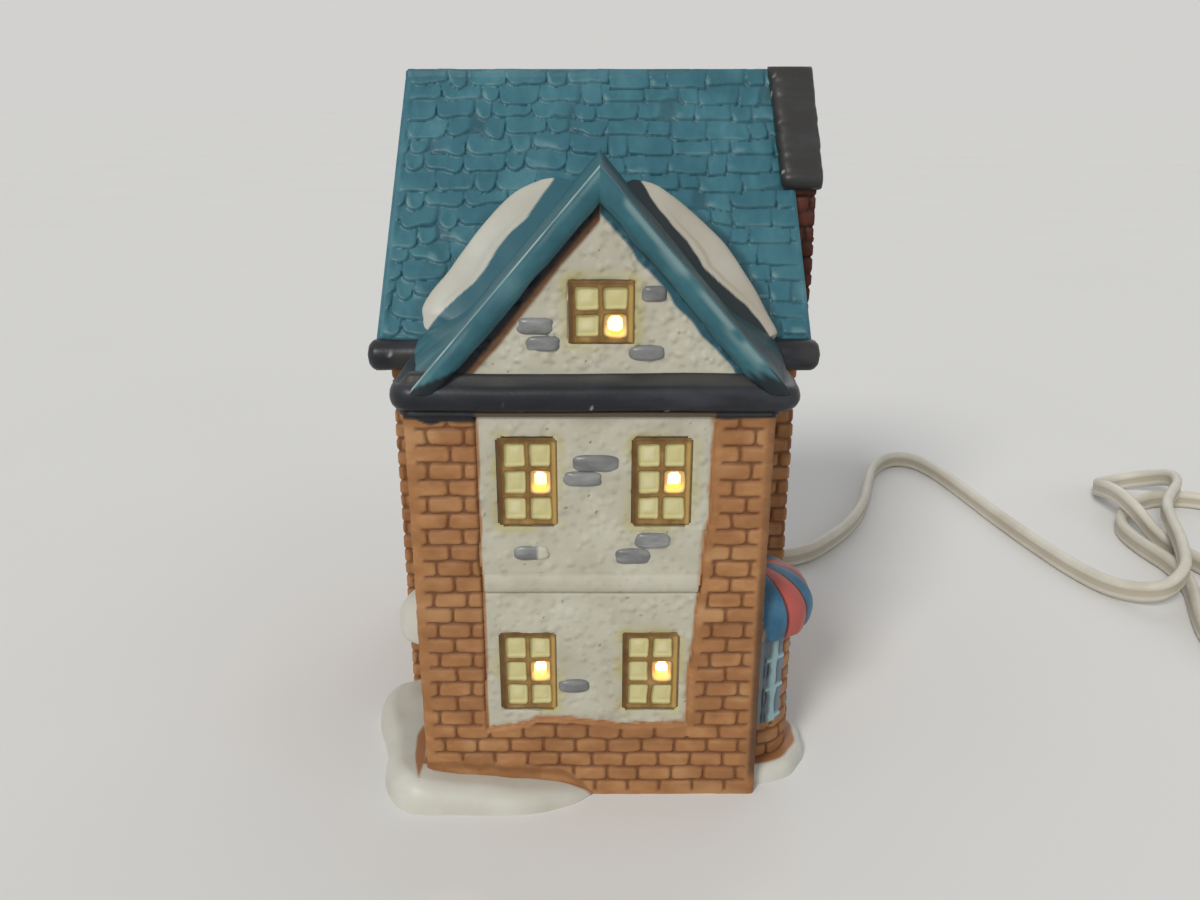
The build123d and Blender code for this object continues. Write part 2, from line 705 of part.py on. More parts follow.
def on_lamp_axis(profile):
    face = make_face(Polyline([(radius, 0, out) for radius, out in profile], close=True))
    return on_lamp_place(revolve(face, Axis.Z))


def lamp_rod(radius, low, high):
    """A plain round piece on the lamp's axis."""
    return on_lamp_axis([(0, low), (radius, low), (radius, high), (0, high)])


def make_socket():
    shell_room = SHELL_OUTER_R
    mouth = -SOCKET_INSIDE
    floor = mouth + SHELL_LENGTH
    return on_lamp_axis([
        (shell_room, mouth),
        (SOCKET_R, mouth),
        (SOCKET_R, 0),
        (FLANGE_R, 0),
        (FLANGE_R, FLANGE_THICK),
        (NECK_R, FLANGE_THICK),
        (NECK_R, FLANGE_THICK + NECK_LENGTH),
        (0, FLANGE_THICK + NECK_LENGTH),
        (0, floor + CONTACT_THICK),
        (CONTACT_R, floor + CONTACT_THICK),
        (CONTACT_R, floor),
        (shell_room, floor),
    ])


def make_screw_shell():
    mouth = -SOCKET_INSIDE
    return on_lamp_axis([
        (SHELL_OUTER_R - SHELL_THICK, mouth),
        (SHELL_OUTER_R, mouth),
        (SHELL_OUTER_R, mouth + SHELL_LENGTH),
        (SHELL_OUTER_R - SHELL_THICK, mouth + SHELL_LENGTH),
    ])


def make_socket_contact():
    floor = -SOCKET_INSIDE + SHELL_LENGTH
    return lamp_rod(CONTACT_R, floor, floor + CONTACT_THICK)


def make_spring_clip():
    """A ring round the socket with two bowed legs that press in the lamp hole."""
    inner_end = -SOCKET_INSIDE
    ring = on_lamp_axis([
        (SOCKET_R, inner_end),
        (SOCKET_R + CLIP_THICK, inner_end),
        (SOCKET_R + CLIP_THICK, inner_end + CLIP_RING),
        (SOCKET_R, inner_end + CLIP_RING),
    ])
    root = SOCKET_R + 0.5 * CLIP_THICK
    bow = sqrt((LAMP_HOLE_R - CLIP_CLEARANCE) ** 2 - (CLIP_WIDTH / 2) ** 2) - CLIP_THICK
    legs = []
    for way in (-1, 1):
        outline = [
            (root, inner_end + CLIP_RING - CLIP_THICK),
            (root, inner_end + CLIP_RING),
            (bow, -WALL),
            (bow - CLIP_THICK, -CLIP_THICK),
            (bow, -CLIP_THICK),
            (bow + CLIP_THICK, -WALL),
        ]
        points = [(LAMP_X + way * out, MAIN_BACK + along, LAMP_Z - CLIP_WIDTH / 2) for out, along in outline]
        legs.append(extrude(make_face(Polyline(points, close=True)), amount=CLIP_WIDTH, dir=(0, 0, 1)))
    return ring + legs[0] + legs[1] - lamp_rod(SOCKET_R, inner_end - 1, 1)


def make_strain_relief():
    start = FLANGE_THICK + NECK_LENGTH
    end = start + RELIEF_LENGTH
    return on_lamp_axis([(0, start), (RELIEF_ROOT_R, start), (RELIEF_TIP_R, end), (0, end)])


def bulb_seat():
    """Where the bulb's tip meets the socket's contact, out of the wall."""
    return -SOCKET_INSIDE + SHELL_LENGTH


def make_bulb_base():
    radius = SHELL_OUTER_R - SHELL_THICK - BULB_FIT
    seat = bulb_seat() - BULB_TIP_LENGTH
    rim = seat - BULB_BASE_LENGTH
    return on_lamp_axis([
        (BULB_TIP_R, seat),
        (0.6 * radius, seat),
        (radius, seat - 0.15 * BULB_BASE_LENGTH),
        (radius, rim),
        (BULB_NECK_R, rim),
        (BULB_NECK_R, rim + 0.5 * BULB_BASE_LENGTH),
        (BULB_TIP_R, rim + 0.5 * BULB_BASE_LENGTH),
    ])


def make_bulb_tip():
    seat = bulb_seat()
    depth = seat - BULB_TIP_LENGTH - 0.5 * BULB_BASE_LENGTH
    return lamp_rod(BULB_TIP_R, depth, seat - BULB_FIT)


def bulb_rim():
    return bulb_seat() - BULB_TIP_LENGTH - BULB_BASE_LENGTH


def glass_line(inset):
    """Half of the bulb's outline from its foot to its rounded point, set in by a wall's thickness."""
    rim = bulb_rim()
    neck = BULB_NECK_R - inset
    widest = (BULB_GLASS_R - inset, 0, rim - 0.45 * BULB_GLASS_LENGTH)
    shoulder = (0.82 * BULB_GLASS_R - inset, 0, rim - 0.2 * BULB_GLASS_LENGTH)
    flank = (0.82 * BULB_GLASS_R - inset, 0, rim - 0.7 * BULB_GLASS_LENGTH)

    def on_point(angle):
        ball = BULB_POINT_R - inset
        centre = rim - BULB_GLASS_LENGTH + BULB_POINT_R
        return (ball * sin(angle), 0, centre - ball * cos(angle))

    return [
        Line((neck, 0, rim + 0.4 * BULB_BASE_LENGTH), (neck, 0, rim)),
        ThreePointArc((neck, 0, rim), shoulder, widest),
        ThreePointArc(widest, flank, on_point(pi / 4)),
        ThreePointArc(on_point(pi / 4), on_point(pi / 8), on_point(0)),
    ]


def make_bulb_glass():
    outside = glass_line(0)
    inside = glass_line(BULB_GLASS_WALL)
    foot = Line(inside[0] @ 0, outside[0] @ 0)
    point = Line(outside[-1] @ 1, inside[-1] @ 1)
    face = make_face([*outside, point, *inside, foot])
    return on_lamp_place(revolve(face, Axis.Z))


def make_filament():
    """Two leads and a bowed filament on a glass stem, standing in the bulb."""
    rim = bulb_rim()
    inside = rim + 0.5 * BULB_BASE_LENGTH
    top = rim - 0.4 * BULB_GLASS_LENGTH
    spread = 0.35 * BULB_GLASS_R
    wires = lamp_rod(0.5 * BULB_TIP_R, rim, inside)
    for way in (-1, 1):
        foot = Vector(way * 0.3 * BULB_TIP_R, 0, rim + 1)
        tip = Vector(way * spread, 0, top)
        run = tip - foot
        wires += on_lamp_place(extrude(Plane(foot, z_dir=run) * Circle(FILAMENT_R), amount=run.length))
    bar = Plane((-spread, 0, top), z_dir=(1, 0, 0)) * Circle(1.5 * FILAMENT_R)
    return wires + on_lamp_place(extrude(bar, amount=2 * spread))


# Cord route from the strain relief to the coil, chosen by hand
RELIEF_END = FLANGE_THICK + NECK_LENGTH + RELIEF_LENGTH
EXIT = (LAMP_X, MAIN_BACK + RELIEF_END, LAMP_Z)
COIL_Z = CORD_R + TIE_THICK
COIL_START_R = COIL_MID_R + COIL_TURNS * COIL_PITCH / 2
LEAD_POINTS = [
    EXIT,
    (EXIT[0], EXIT[1] + 10.5, EXIT[2]),
    (-4.5, 95.0, 21.5),
    (4.5, 102.0, 15.0),
    (16.0, 100.0, 8.0),
    (26.5, 90.0, 4.0),
    (34.5, 77.0, 3.0),
    (43.0, 65.0, 3.0),
    (53.0, 57.8, 3.0),
    (64.0, 60.2, 3.0),
    (74.0, 71.0, 3.0),
    (83.5, 83.5, 3.0),
    (91.2, 98.5, 3.0),
    (96.0, 112.5, 3.0),
    (100.5, 126.5, 3.0),
    (106.0, 139.5, 3.0),
    (114.0, 147.5, 3.0),
    (122.0, 146.0, 3.0),
    (126.5, 136.0, 3.0),
    (129.5, 121.5, 3.0),
    (132.0, 104.0, 3.0),
    (134.8, 86.5, 3.0),
    (138.4, 68.0, 3.0),
    (142.8, 49.5, 3.0),
    (148.5, 36.5, 3.4),
    (157.5, 30.0, 5.8),
    (166.0, 35.5, 9.2),
    (171.0, 45.5, 10.0),
    (175.5, 56.5, 10.2),
    (179.5, 69.0, 10.6),
    (184.5, 81.5, 10.4),
    (192.0, 92.0, 9.8),
    (199.5, 101.0, 9.9),
    (202.5, 110.5, 9.6),
    (199.0, 119.0, 6.0),
    (190.5, 123.0, 3.0),
    (181.0, 118.8, 3.0),
    (176.0, 108.5, 6.4),
    (175.0, 96.0, 9.9),
    (175.7, 83.5, 9.0),
    (178.2, 71.5, 3.3),
    (181.0, 58.0, 3.0),
    (185.5, 42.5, 3.0),
    (193.5, 27.5, 3.0),
    (199.5, 11.0, 3.0),
    (197.0, -7.0, 3.0),
    (184.0, -19.5, 3.0),
    (168.5, -17.5, 3.0),
    (159.0, -4.5, 3.0),
    (159.5, 12.0, 3.0),
    (165.5, 27.0, 3.0),
    (171.2, 40.0, 3.0),
    (173.2, 54.0, 3.0),
    (170.6, 67.0, 3.0),
    (170.6, 80.0, 3.0),
    (175.8, 91.0, 3.0),
    (184.0, 100.2, 3.0),
    (195.0, 106.5, 3.0),
    (207.0, 106.2, 3.0),
    (216.5, 99.5, 3.2),
    (COIL_X - COIL_START_R - 0.8, COIL_Y + 2.7 * CORD_WIDTH, 3.6),
    (COIL_X - COIL_START_R, COIL_Y + CORD_WIDTH + 7.5, COIL_Z),
    (COIL_X - COIL_START_R, COIL_Y + CORD_WIDTH, COIL_Z),
]


def corner_radii(points):
    """The largest arc that each corner of a route has room for."""
    places = [Vector(*point) for point in points]
    radii = []
    for before, here, after in zip(places, places[1:], places[2:]):
        first = here - before
        second = after - here
        turn = radians(first.get_angle(second))
        radii.append(0.45 * min(first.length, second.length) / tan(turn / 2))
    return radii


def least_gap(path, apart):
    """The least gap between two places on a cord with at least this much cord between them."""
    count = int(path.length)
    points = [tuple(path @ (index / count)) for index in range(count + 1)]
    skip = int(apart)
    least = min(dist(points[a], points[b]) for a in range(count + 1) for b in range(a + skip, count + 1))
    return least - CORD_WIDTH


def make_cord(points, name):
    """A round tube along a route of straight runs and tangent arcs."""
    radii = corner_radii(points)
    path = FilletPolyline(*points, radius=radii)
    run = Vector(*points[1]) - Vector(*points[0])
    section = Plane(points[0], z_dir=run) * Circle(CORD_R)
    tube = sweep(section, path=path)
    expected = pi * CORD_R**2 * path.length
    print(name, "length", round(path.length, 1), "volume share", round(tube.volume / expected, 4))
    print(name, "radii", [round(radius, 1) for radius in radii])
    print(name, "least gap", round(least_gap(path, 5 * CORD_WIDTH), 2))
    return tube


# Coil of the length that is put away
COIL_SWEEP = 2 * pi * COIL_TURNS


def coil_place(angle):
    """A point of the coil's middle line; angle runs from -COIL_SWEEP to COIL_SWEEP about the reversal."""
    turned_by = abs(angle)
    climb = 1.0 if angle > 0 else 0.0
    if turned_by < pi / 2:
        turned_by = angle * angle / pi + pi / 4
        climb = 0.5 + 0.5 * sin(angle)
    radius = COIL_START_R - COIL_PITCH * (COIL_SWEEP - turned_by) / (2 * pi)
    direction = pi + angle + COIL_SWEEP
    return Vector(
        COIL_X + radius * cos(direction), COIL_Y + radius * sin(direction), COIL_Z + COIL_PITCH * climb
    )


def coil_heading(angle):
    step = 1e-4
    return (coil_place(angle + step) - coil_place(angle - step)).normalized()


def biarc(start, start_way, end, end_way):
    """Two arcs from one point and heading to another."""
    span = end - start
    ways = start_way + end_way
    spread = 2 * (1 - start_way.dot(end_way))
    reach = (-span.dot(ways) + (span.dot(ways) ** 2 + spread * span.dot(span)) ** 0.5) / spread
    first = start + start_way * reach
    second = end - end_way * reach
    middle = (first + second) * 0.5
    return [TangentArc(start, middle, tangent=start_way), TangentArc(middle, end, tangent=second - first)]


def make_coil():
    steps = 8 * COIL_TURNS
    angles = [-COIL_SWEEP + 2 * COIL_SWEEP * step / steps for step in range(steps + 1)]
    first_way = Vector(0, -1, 0)
    places = [coil_place(angle) for angle in angles]
    ways = [coil_heading(angle) for angle in angles]
    ways[0] = first_way
    ways[-1] = first_way
    edges = [Line(places[0] - first_way * CORD_WIDTH, places[0])]
    for index in range(steps):
        edges += biarc(places[index], ways[index], places[index + 1], ways[index + 1])
    edges.append(Line(places[-1], places[-1] + first_way * CORD_WIDTH))
    path = Wire(edges)
    section = Plane(places[0] - first_way * CORD_WIDTH, z_dir=first_way) * Circle(CORD_R)
    tube = sweep(section, path=path)
    expected = pi * CORD_R**2 * path.length
    print("coil length", round(path.length, 1), "volume share", round(tube.volume / expected, 4))
    print("coil least gap", round(least_gap(path, pi * COIL_MID_R), 2))
    return tube


def make_tie():
    """A flat band round the coil's turns, on the side away from the house."""
    inner_r = COIL_START_R - COIL_PITCH * (COIL_TURNS - 0.5) - CORD_R - TIE_SLACK
    outer_r = COIL_START_R - COIL_PITCH * 0.5 + CORD_R + TIE_SLACK
    top = COIL_Z + COIL_PITCH + CORD_R + TIE_SLACK
    y = (COIL_Y - TIE_WIDTH / 2, COIL_Y + TIE_WIDTH / 2)
    outside = block((COIL_X + inner_r - TIE_THICK, COIL_X + outer_r + TIE_THICK), y, (0, top + TIE_THICK))
    room = block((COIL_X + inner_r, COIL_X + outer_r), (y[0] - 1, y[1] + 1), (TIE_THICK, top))
    return outside - room


# Switch on the cord, beyond the coil
COIL_END = (COIL_X - COIL_START_R, COIL_Y - CORD_WIDTH, COIL_Z + COIL_PITCH)
SWITCH_X = 226.0
SWITCH_BACK = 20.0
SWITCH_MIDDLE = SWITCH_BACK - SWITCH_LENGTH / 2
SWITCH_FRONT = SWITCH_BACK - SWITCH_LENGTH
SWITCH_Z = SWITCH_HEIGHT / 2
WHEEL_X = SWITCH_X + SWITCH_WIDTH / 2 + WHEEL_SHOW - WHEEL_R
PLUG_Z = PLUG_HEIGHT / 2
PLUG_BACK_X = 264.0
PLUG_Y = -58.0
TAIL_POINTS = [
    COIL_END,
    (COIL_END[0], COIL_END[1] - 8.0, COIL_END[2]),
    (223.2, 49.5, 9.6),
    (225.0, 39.5, 8.0),
    (SWITCH_X, SWITCH_BACK + 9.5, SWITCH_Z),
    (SWITCH_X, SWITCH_BACK, SWITCH_Z),
]
END_POINTS = [
    (SWITCH_X, SWITCH_FRONT, SWITCH_Z),
    (SWITCH_X, SWITCH_FRONT - 8.5, SWITCH_Z),
    (229.0, -49.0, 5.8),
    (238.5, -56.0, 6.2),
    (251.5, PLUG_Y, PLUG_Z),
    (PLUG_BACK_X, PLUG_Y, PLUG_Z),
]


def switch_case():
    """The closed outline of the switch, rounded at its upright edges."""
    half = SWITCH_WIDTH / 2
    case = block((SWITCH_X - half, SWITCH_X + half), (SWITCH_FRONT, SWITCH_BACK), (0, SWITCH_HEIGHT))
    return rounded(case, SWITCH_ROUND, lambda edge: abs((edge % 0.5).Z) > 0.9)


def switch_room():
    """The wheel's pocket in the case, with the wheel's pin left standing in it."""
    middle = Pos(WHEEL_X, SWITCH_MIDDLE, SWITCH_Z)
    pocket = middle * Cylinder(WHEEL_R + WHEEL_ROOM, WHEEL_THICK + 2 * WHEEL_ROOM)
    return pocket - middle * Cylinder(WHEEL_PIN_R, 2 * WHEEL_THICK)


def make_switch_half(z):
    half = switch_case() & block((-FAR, 2 * FAR), (-FAR, FAR), z)
    half -= switch_room()
    half -= make_switch_screw()
    return half - make_switch_contacts()


def make_switch_contacts():
    """Two brass strips that the wheel bridges, bedded in the lower half on either side of it."""
    strip = Box(CONTACT_STRIP, CONTACT_STRIP_LENGTH, CONTACT_STRIP_WIDTH)
    reach = WHEEL_R + WHEEL_ROOM + CONTACT_STRIP_LENGTH / 2
    x = SWITCH_X - 2 * CONTACT_STRIP
    z = SWITCH_Z - CONTACT_STRIP_WIDTH / 2
    return Compound(children=[Pos(x, SWITCH_MIDDLE + way * reach, z) * strip for way in (-1, 1)])


def make_switch_screw():
    """One screw through the cover into the base, beside the wheel."""
    x = SWITCH_X + 0.2 * SWITCH_WIDTH
    y = SWITCH_MIDDLE + SCREW_OFFSET
    head_low = SWITCH_HEIGHT - SCREW_HEAD
    shank = Pos(x, y, head_low - SCREW_LENGTH / 2) * Cylinder(SCREW_R, SCREW_LENGTH)
    return shank + Pos(x, y, head_low + SCREW_HEAD / 2) * Cylinder(SCREW_HEAD_R, SCREW_HEAD)


def make_wheel():
    """A ribbed thumb wheel on an upright pin."""
    through = WHEEL_THICK + 1
    disc = Cylinder(WHEEL_R, WHEEL_THICK) - Cylinder(WHEEL_PIN_R + RUNNING_FIT, through)
    for groove in PolarLocations(WHEEL_R, WHEEL_RIBS):
        disc -= groove * Cylinder(WHEEL_RIB_R, through)
    return Pos(WHEEL_X, SWITCH_MIDDLE, SWITCH_Z) * disc


# Plug at the far end
def make_plug():
    x = (PLUG_BACK_X, PLUG_BACK_X + PLUG_LENGTH)
    case = block(x, (PLUG_Y - PLUG_WIDTH / 2, PLUG_Y + PLUG_WIDTH / 2), (0, PLUG_HEIGHT))
    return rounded(case, PLUG_ROUND, lambda edge: abs((edge % 0.5).X) > 0.9)


def make_blades():
    x = (PLUG_BACK_X + PLUG_LENGTH, PLUG_BACK_X + PLUG_LENGTH + BLADE_LENGTH)
    z = (PLUG_Z - BLADE_WIDTH / 2, PLUG_Z + BLADE_WIDTH / 2)
    blades = []
    for way in (-1, 1):
        y = PLUG_Y + way * BLADE_SPACING / 2
        blades.append(block(x, (y - BLADE_THICK / 2, y + BLADE_THICK / 2), z))
    return Compound(children=blades)


front_windows = front_window_places()
gutter_x = ROOF_HALF + GUTTER_END
parts = {
    "main_walls": make_main_walls(),
    "main_roof": make_main_roof(),
    "gutter_front_left": make_gutter((-gutter_x, min(WING_LEFT, GABLE_X - WING_ROOF_HALF)), EAVE_FRONT, -1),
    "gutter_front_right": make_gutter((max(WING_RIGHT, GABLE_X + WING_ROOF_HALF), gutter_x), EAVE_FRONT, -1),
    "gutter_rear": make_gutter((-gutter_x, gutter_x), EAVE_BACK, 1),
    "wing_walls": make_wing_walls(),
    "wing_roof": make_wing_roof(),
    "gable_wall": make_gable_wall(),
    "wing_cornice": make_cornice(),
    "bargeboard_left": make_bargeboard(-1),
    "bargeboard_right": make_bargeboard(1),
    "plinth_band": make_plinth_band(),
    "pilaster_left": make_pilaster((WING_LEFT, STUCCO_LEFT)),
    "pilaster_right": make_pilaster((STUCCO_RIGHT, WING_RIGHT)),
    "stucco_upper": make_stucco((STRING_LOW + STRING_HEIGHT, CORNICE_BOTTOM)),
    "stucco_lower": make_stucco((PLINTH_HEIGHT, STRING_LOW)),
    "string_course": make_string_course(),
    "bare_stones": make_stones(),
    "window_upper_left": make_window(*front_windows[0]),
    "window_upper_right": make_window(*front_windows[1]),
    "window_lower_left": make_window(*front_windows[2]),
    "window_lower_right": make_window(*front_windows[3]),
    "window_gable": make_window(*gable_window_places()[0]),
    "windows_left_side": Compound(children=[make_window(*place) for place in side_window_places()[:2]]),
    "windows_right_side": Compound(children=[make_window(*place) for place in side_window_places()[2:]]),
    "windows_rear": Compound(children=[make_window(*place) for place in rear_window_places()]),
    "chimney_breast": chimney_envelope(),
    "chimney_hood": make_chimney_hood(),
    "bow_window_base": half_disc(BOW_RADIUS, (0, BOW_BASE_Z), right_of_wing()),
    "bow_window_glazing": half_disc(BOW_RADIUS - BOW_SETBACK, (BOW_BASE_Z, BOW_TOP_Z), right_of_wing()),
    "awning": make_awning(),
    "side_door": make_door(),
    "door_hood_snow": make_door_hood(),
    "snow_drift_left": make_drift(),
    "snow_lip_right": make_snow_lip(),
    "roof_snow_left": make_roof_snow(-1, ROOF_SNOW_BULGE_LEFT),
    "roof_snow_right": make_roof_snow(1, ROOF_SNOW_BULGE_RIGHT),
    "lamp_socket": make_socket(),
    "socket_screw_shell": make_screw_shell(),
    "socket_contact": make_socket_contact(),
    "socket_spring_clip": make_spring_clip(),
    "strain_relief": make_strain_relief(),
    "bulb_base": make_bulb_base(),
    "bulb_tip_contact": make_bulb_tip(),
    "bulb_glass": make_bulb_glass(),
    "bulb_filament": make_filament(),
    "cord_lead": make_cord(LEAD_POINTS, "cord lead"),
    "cord_coil": make_coil(),
    "cord_tie": make_tie(),
    "cord_tail": make_cord(TAIL_POINTS, "cord tail"),
    "switch_base": make_switch_half((0, SWITCH_Z)),
    "switch_cover": make_switch_half((SWITCH_Z, SWITCH_HEIGHT)),
    "switch_contacts": make_switch_contacts(),
    "switch_screw": make_switch_screw(),
    "switch_wheel": make_wheel(),
    "cord_end": make_cord(END_POINTS, "cord end"),
    "plug_body": make_plug(),
    "plug_blades": make_blades(),
}

os.makedirs("parts", exist_ok=True)
for name, shape in parts.items():
    export_step(shape, f"parts/{name}.step")
print(len(parts), "pieces written")
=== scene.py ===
# %% [markdown]
# A lit ceramic village house
#
# The real thing is a hollow house of slip-cast clay, painted by hand and lit by one small lamp that clips
# into a hole in its back wall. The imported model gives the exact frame: where each wall, roof and window is.
# This lesson lays clay-like surfaces over that frame: bricks with soft joints, lumpy stucco, overlapping
# slates and rolls of dark trim, and it gives each of them a paint made of shader nodes.

import math

import bpy
import numpy as np
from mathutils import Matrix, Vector


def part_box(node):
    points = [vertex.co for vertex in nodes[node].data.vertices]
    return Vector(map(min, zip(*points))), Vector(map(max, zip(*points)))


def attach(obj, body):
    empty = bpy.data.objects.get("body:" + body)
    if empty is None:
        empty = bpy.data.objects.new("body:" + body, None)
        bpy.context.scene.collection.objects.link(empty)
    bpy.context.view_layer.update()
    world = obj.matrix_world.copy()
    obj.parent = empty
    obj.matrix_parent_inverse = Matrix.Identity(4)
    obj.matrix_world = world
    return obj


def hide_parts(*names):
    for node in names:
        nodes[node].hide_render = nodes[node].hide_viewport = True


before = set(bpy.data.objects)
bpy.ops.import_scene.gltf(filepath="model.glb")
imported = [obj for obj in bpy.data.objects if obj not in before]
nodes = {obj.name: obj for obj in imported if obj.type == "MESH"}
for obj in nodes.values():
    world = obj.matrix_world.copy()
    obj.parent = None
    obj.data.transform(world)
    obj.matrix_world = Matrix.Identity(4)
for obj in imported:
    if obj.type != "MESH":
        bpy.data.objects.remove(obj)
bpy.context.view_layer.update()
scene = bpy.context.scene
MM = 0.001


def placed(name, data):
    """A new object in the scene."""
    thing = bpy.data.objects.new(name, data)
    scene.collection.objects.link(thing)
    return thing


# %% [markdown]
# The camera stands in front of the gable, a little higher than its tip, and looks down at the front.
# The lens is short and near, so the walls lean together towards the foot, as they do in the photograph.

# %% Camera
CAMERA_PLACE = (1.25, -218.25, 135.7)
CAMERA_TILT = 19.45
camera_data = bpy.data.cameras.new("front_camera")
camera_data.sensor_width = 36
camera_data.lens = 30
camera_data.clip_start = 0.01
camera = placed("front_camera", camera_data)
camera.location = Vector(CAMERA_PLACE) * MM
camera.rotation_euler = (math.radians(90 - CAMERA_TILT), 0, 0)
scene.camera = camera
print("camera at", [round(v, 4) for v in camera.location])

# %% [markdown]
# The lamp cord is a flat pair of wires in soft vinyl. It leaves the back wall, comes round the right side,
# wanders over the table in loose loops, and the length that nobody needs is wound up in a tied coil.
# A flexible cord is best drawn as one smooth curve through a list of places, so the same points as in the
# solid model become the control points of a NURBS curve. The coil is more points of the same curve:
# two turns going in, a step up, and two turns coming out on top.

# %% Cord route
LEAD = [
    (-8, 73.25, 24.5), (-8, 83.75, 24.5), (-4.5, 95, 21.5), (4.5, 102, 15), (16, 100, 8), (26.5, 90, 4),
    (34.5, 77, 3), (43, 65, 3), (53, 57.8, 3), (64, 60.2, 3), (74, 71, 3), (83.5, 83.5, 3), (91.2, 98.5, 3),
    (96, 112.5, 3), (100.5, 126.5, 3), (106, 139.5, 3), (114, 147.5, 3), (122, 146, 3), (126.5, 136, 3),
    (129.5, 121.5, 3), (132, 104, 3), (134.8, 86.5, 3), (138.4, 68, 3), (142.8, 49.5, 3), (148.5, 36.5, 3.4),
    (157.5, 30, 5.8), (166, 35.5, 9.2), (171, 45.5, 10), (175.5, 56.5, 10.2), (179.5, 69, 10.6),
    (184.5, 81.5, 10.4), (192, 92, 9.8), (199.5, 101, 9.9), (202.5, 110.5, 9.6), (199, 119, 6),
    (190.5, 123, 3), (181, 118.8, 3), (176, 108.5, 6.4), (175, 96, 9.9), (175.7, 83.5, 9), (178.2, 71.5, 3.3),
    (181, 58, 3), (185.5, 42.5, 3), (193.5, 27.5, 3), (199.5, 11, 3), (197, -7, 3), (184, -19.5, 3),
    (168.5, -17.5, 3), (159, -4.5, 3), (159.5, 12, 3), (165.5, 27, 3), (171.2, 40, 3), (173.2, 54, 3),
    (170.6, 67, 3), (170.6, 80, 3), (175.8, 91, 3), (184, 100.2, 3), (195, 106.5, 3), (207, 106.2, 3),
    (216.5, 99.5, 3.2), (221.4, 90.2, 3.6), (222.2, 87.5, 3.8), (222.2, 80, 3.8),
]
TAIL = [
    (222.2, 68, 10.6), (222.2, 60, 10.6), (223.2, 49.5, 9.6), (225, 39.5, 8), (226, 29.5, 6.5),
    (226, 20, 6.5), (226, -30, 6.5), (226, -38.5, 6.5), (229, -49, 5.8), (238.5, -56, 6.2),
    (251.5, -58, 7), (264, -58, 7),
]
COIL_X, COIL_Y, COIL_Z = 262, 74, 3.8
COIL_OUTER, COIL_PITCH, COIL_SWEEP = 39.8, 6.8, 4 * math.pi


def coil_place(angle):
    """A place on the coil: two turns in on the table, a step up by half a turn, two turns out on top."""
    turned_by = abs(angle)
    climb = 0.0 if angle < 0 else 1.0
    if turned_by < math.pi / 2:
        turned_by = angle * angle / math.pi + math.pi / 4
        climb = 0.5 + 0.5 * math.sin(angle)
    radius = COIL_OUTER - COIL_PITCH * (COIL_SWEEP - turned_by) / (2 * math.pi)
    way = math.pi + angle + COIL_SWEEP
    return COIL_X + radius * math.cos(way), COIL_Y + radius * math.sin(way), COIL_Z + COIL_PITCH * climb


coil = [coil_place(math.radians(degrees)) for degrees in range(-720, 721, 20)]
route_points = LEAD + coil + TAIL
route_curve = bpy.data.curves.new("cord_route", "CURVE")
route_curve.dimensions = "3D"
route_curve.resolution_u = 6
route_spline = route_curve.splines.new("NURBS")
route_spline.points.add(len(route_points) - 1)
for point, place in zip(route_spline.points, route_points):
    point.co = (place[0] * MM, place[1] * MM, place[2] * MM, 1)
route_spline.order_u = 3
route_spline.use_endpoint_u = True
route_object = bpy.data.objects.new("cord_route", route_curve)
route_mesh = bpy.data.meshes.new_from_object(route_object)
cord_line = np.array([tuple(vertex.co) for vertex in route_mesh.vertices])
bpy.data.objects.remove(route_object)
bpy.data.curves.remove(route_curve)
bpy.data.meshes.remove(route_mesh)

# %% [markdown]
# Every painted surface in this lesson is a Principled shader fed by noise in object space, so that brush
# strokes and kiln marks are real sizes in millimetres. Where a mesh knows something about itself, such as
# how deep a joint is or which slate has a worn corner, it stores that as a named attribute, and the paint
# reads it. That keeps colour and shape in step without any picture. Colours are given as a screen shows
# them, 0 to 255.

# %% Paint helper
ROUGH_SWING, BUMP_HEIGHT = 0.07, 0.0003


def screen(red, green, blue):
    """A colour as a screen shows it, 0 to 255, as the linear values that shaders use."""
    linear = []
    for value in (red, green, blue):
        share = value / 255
        linear.append(share / 12.92 if share <= 0.04045 else ((share + 0.055) / 1.055) ** 2.4)
    return (*linear, 1.0)


def put(node, values):
    """Sets inputs of a node by their names."""
    for key, value in values.items():
        node.inputs[key].default_value = value


def blank_paint(name):
    """A new material, its node tree, its shader and the socket that gives places on the object."""
    material = bpy.data.materials.new(name)
    material.use_nodes = True
    tree = material.node_tree
    place = tree.nodes.new("ShaderNodeTexCoord").outputs["Object"]
    return material, tree, tree.nodes["Principled BSDF"], place


def noise_node(tree, vector, scale, detail=3.0, rough=0.5):
    node = tree.nodes.new("ShaderNodeTexNoise")
    put(node, {"Scale": scale, "Detail": detail, "Roughness": rough})
    tree.links.new(vector, node.inputs["Vector"])
    return node.outputs["Fac"]


def ramp_node(tree, factor, stops):
    node = tree.nodes.new("ShaderNodeValToRGB")
    while len(node.color_ramp.elements) < len(stops):
        node.color_ramp.elements.new(0.5)
    for element, (position, colour) in zip(node.color_ramp.elements, stops):
        element.position = position
        element.color = colour
    tree.links.new(factor, node.inputs["Fac"])
    return node.outputs["Color"]


def attribute_node(tree, attribute):
    node = tree.nodes.new("ShaderNodeAttribute")
    node.attribute_name = attribute
    return node.outputs["Fac"]


def over(tree, factor, below, above):
    """Lays a colour over the one that a socket gives, where the factor says."""
    node = tree.nodes.new("ShaderNodeMix")
    node.data_type = "RGBA"
    tree.links.new(factor, node.inputs[0])
    tree.links.new(below, node.inputs[6])
    node.inputs[7].default_value = above
    return node.outputs[2]


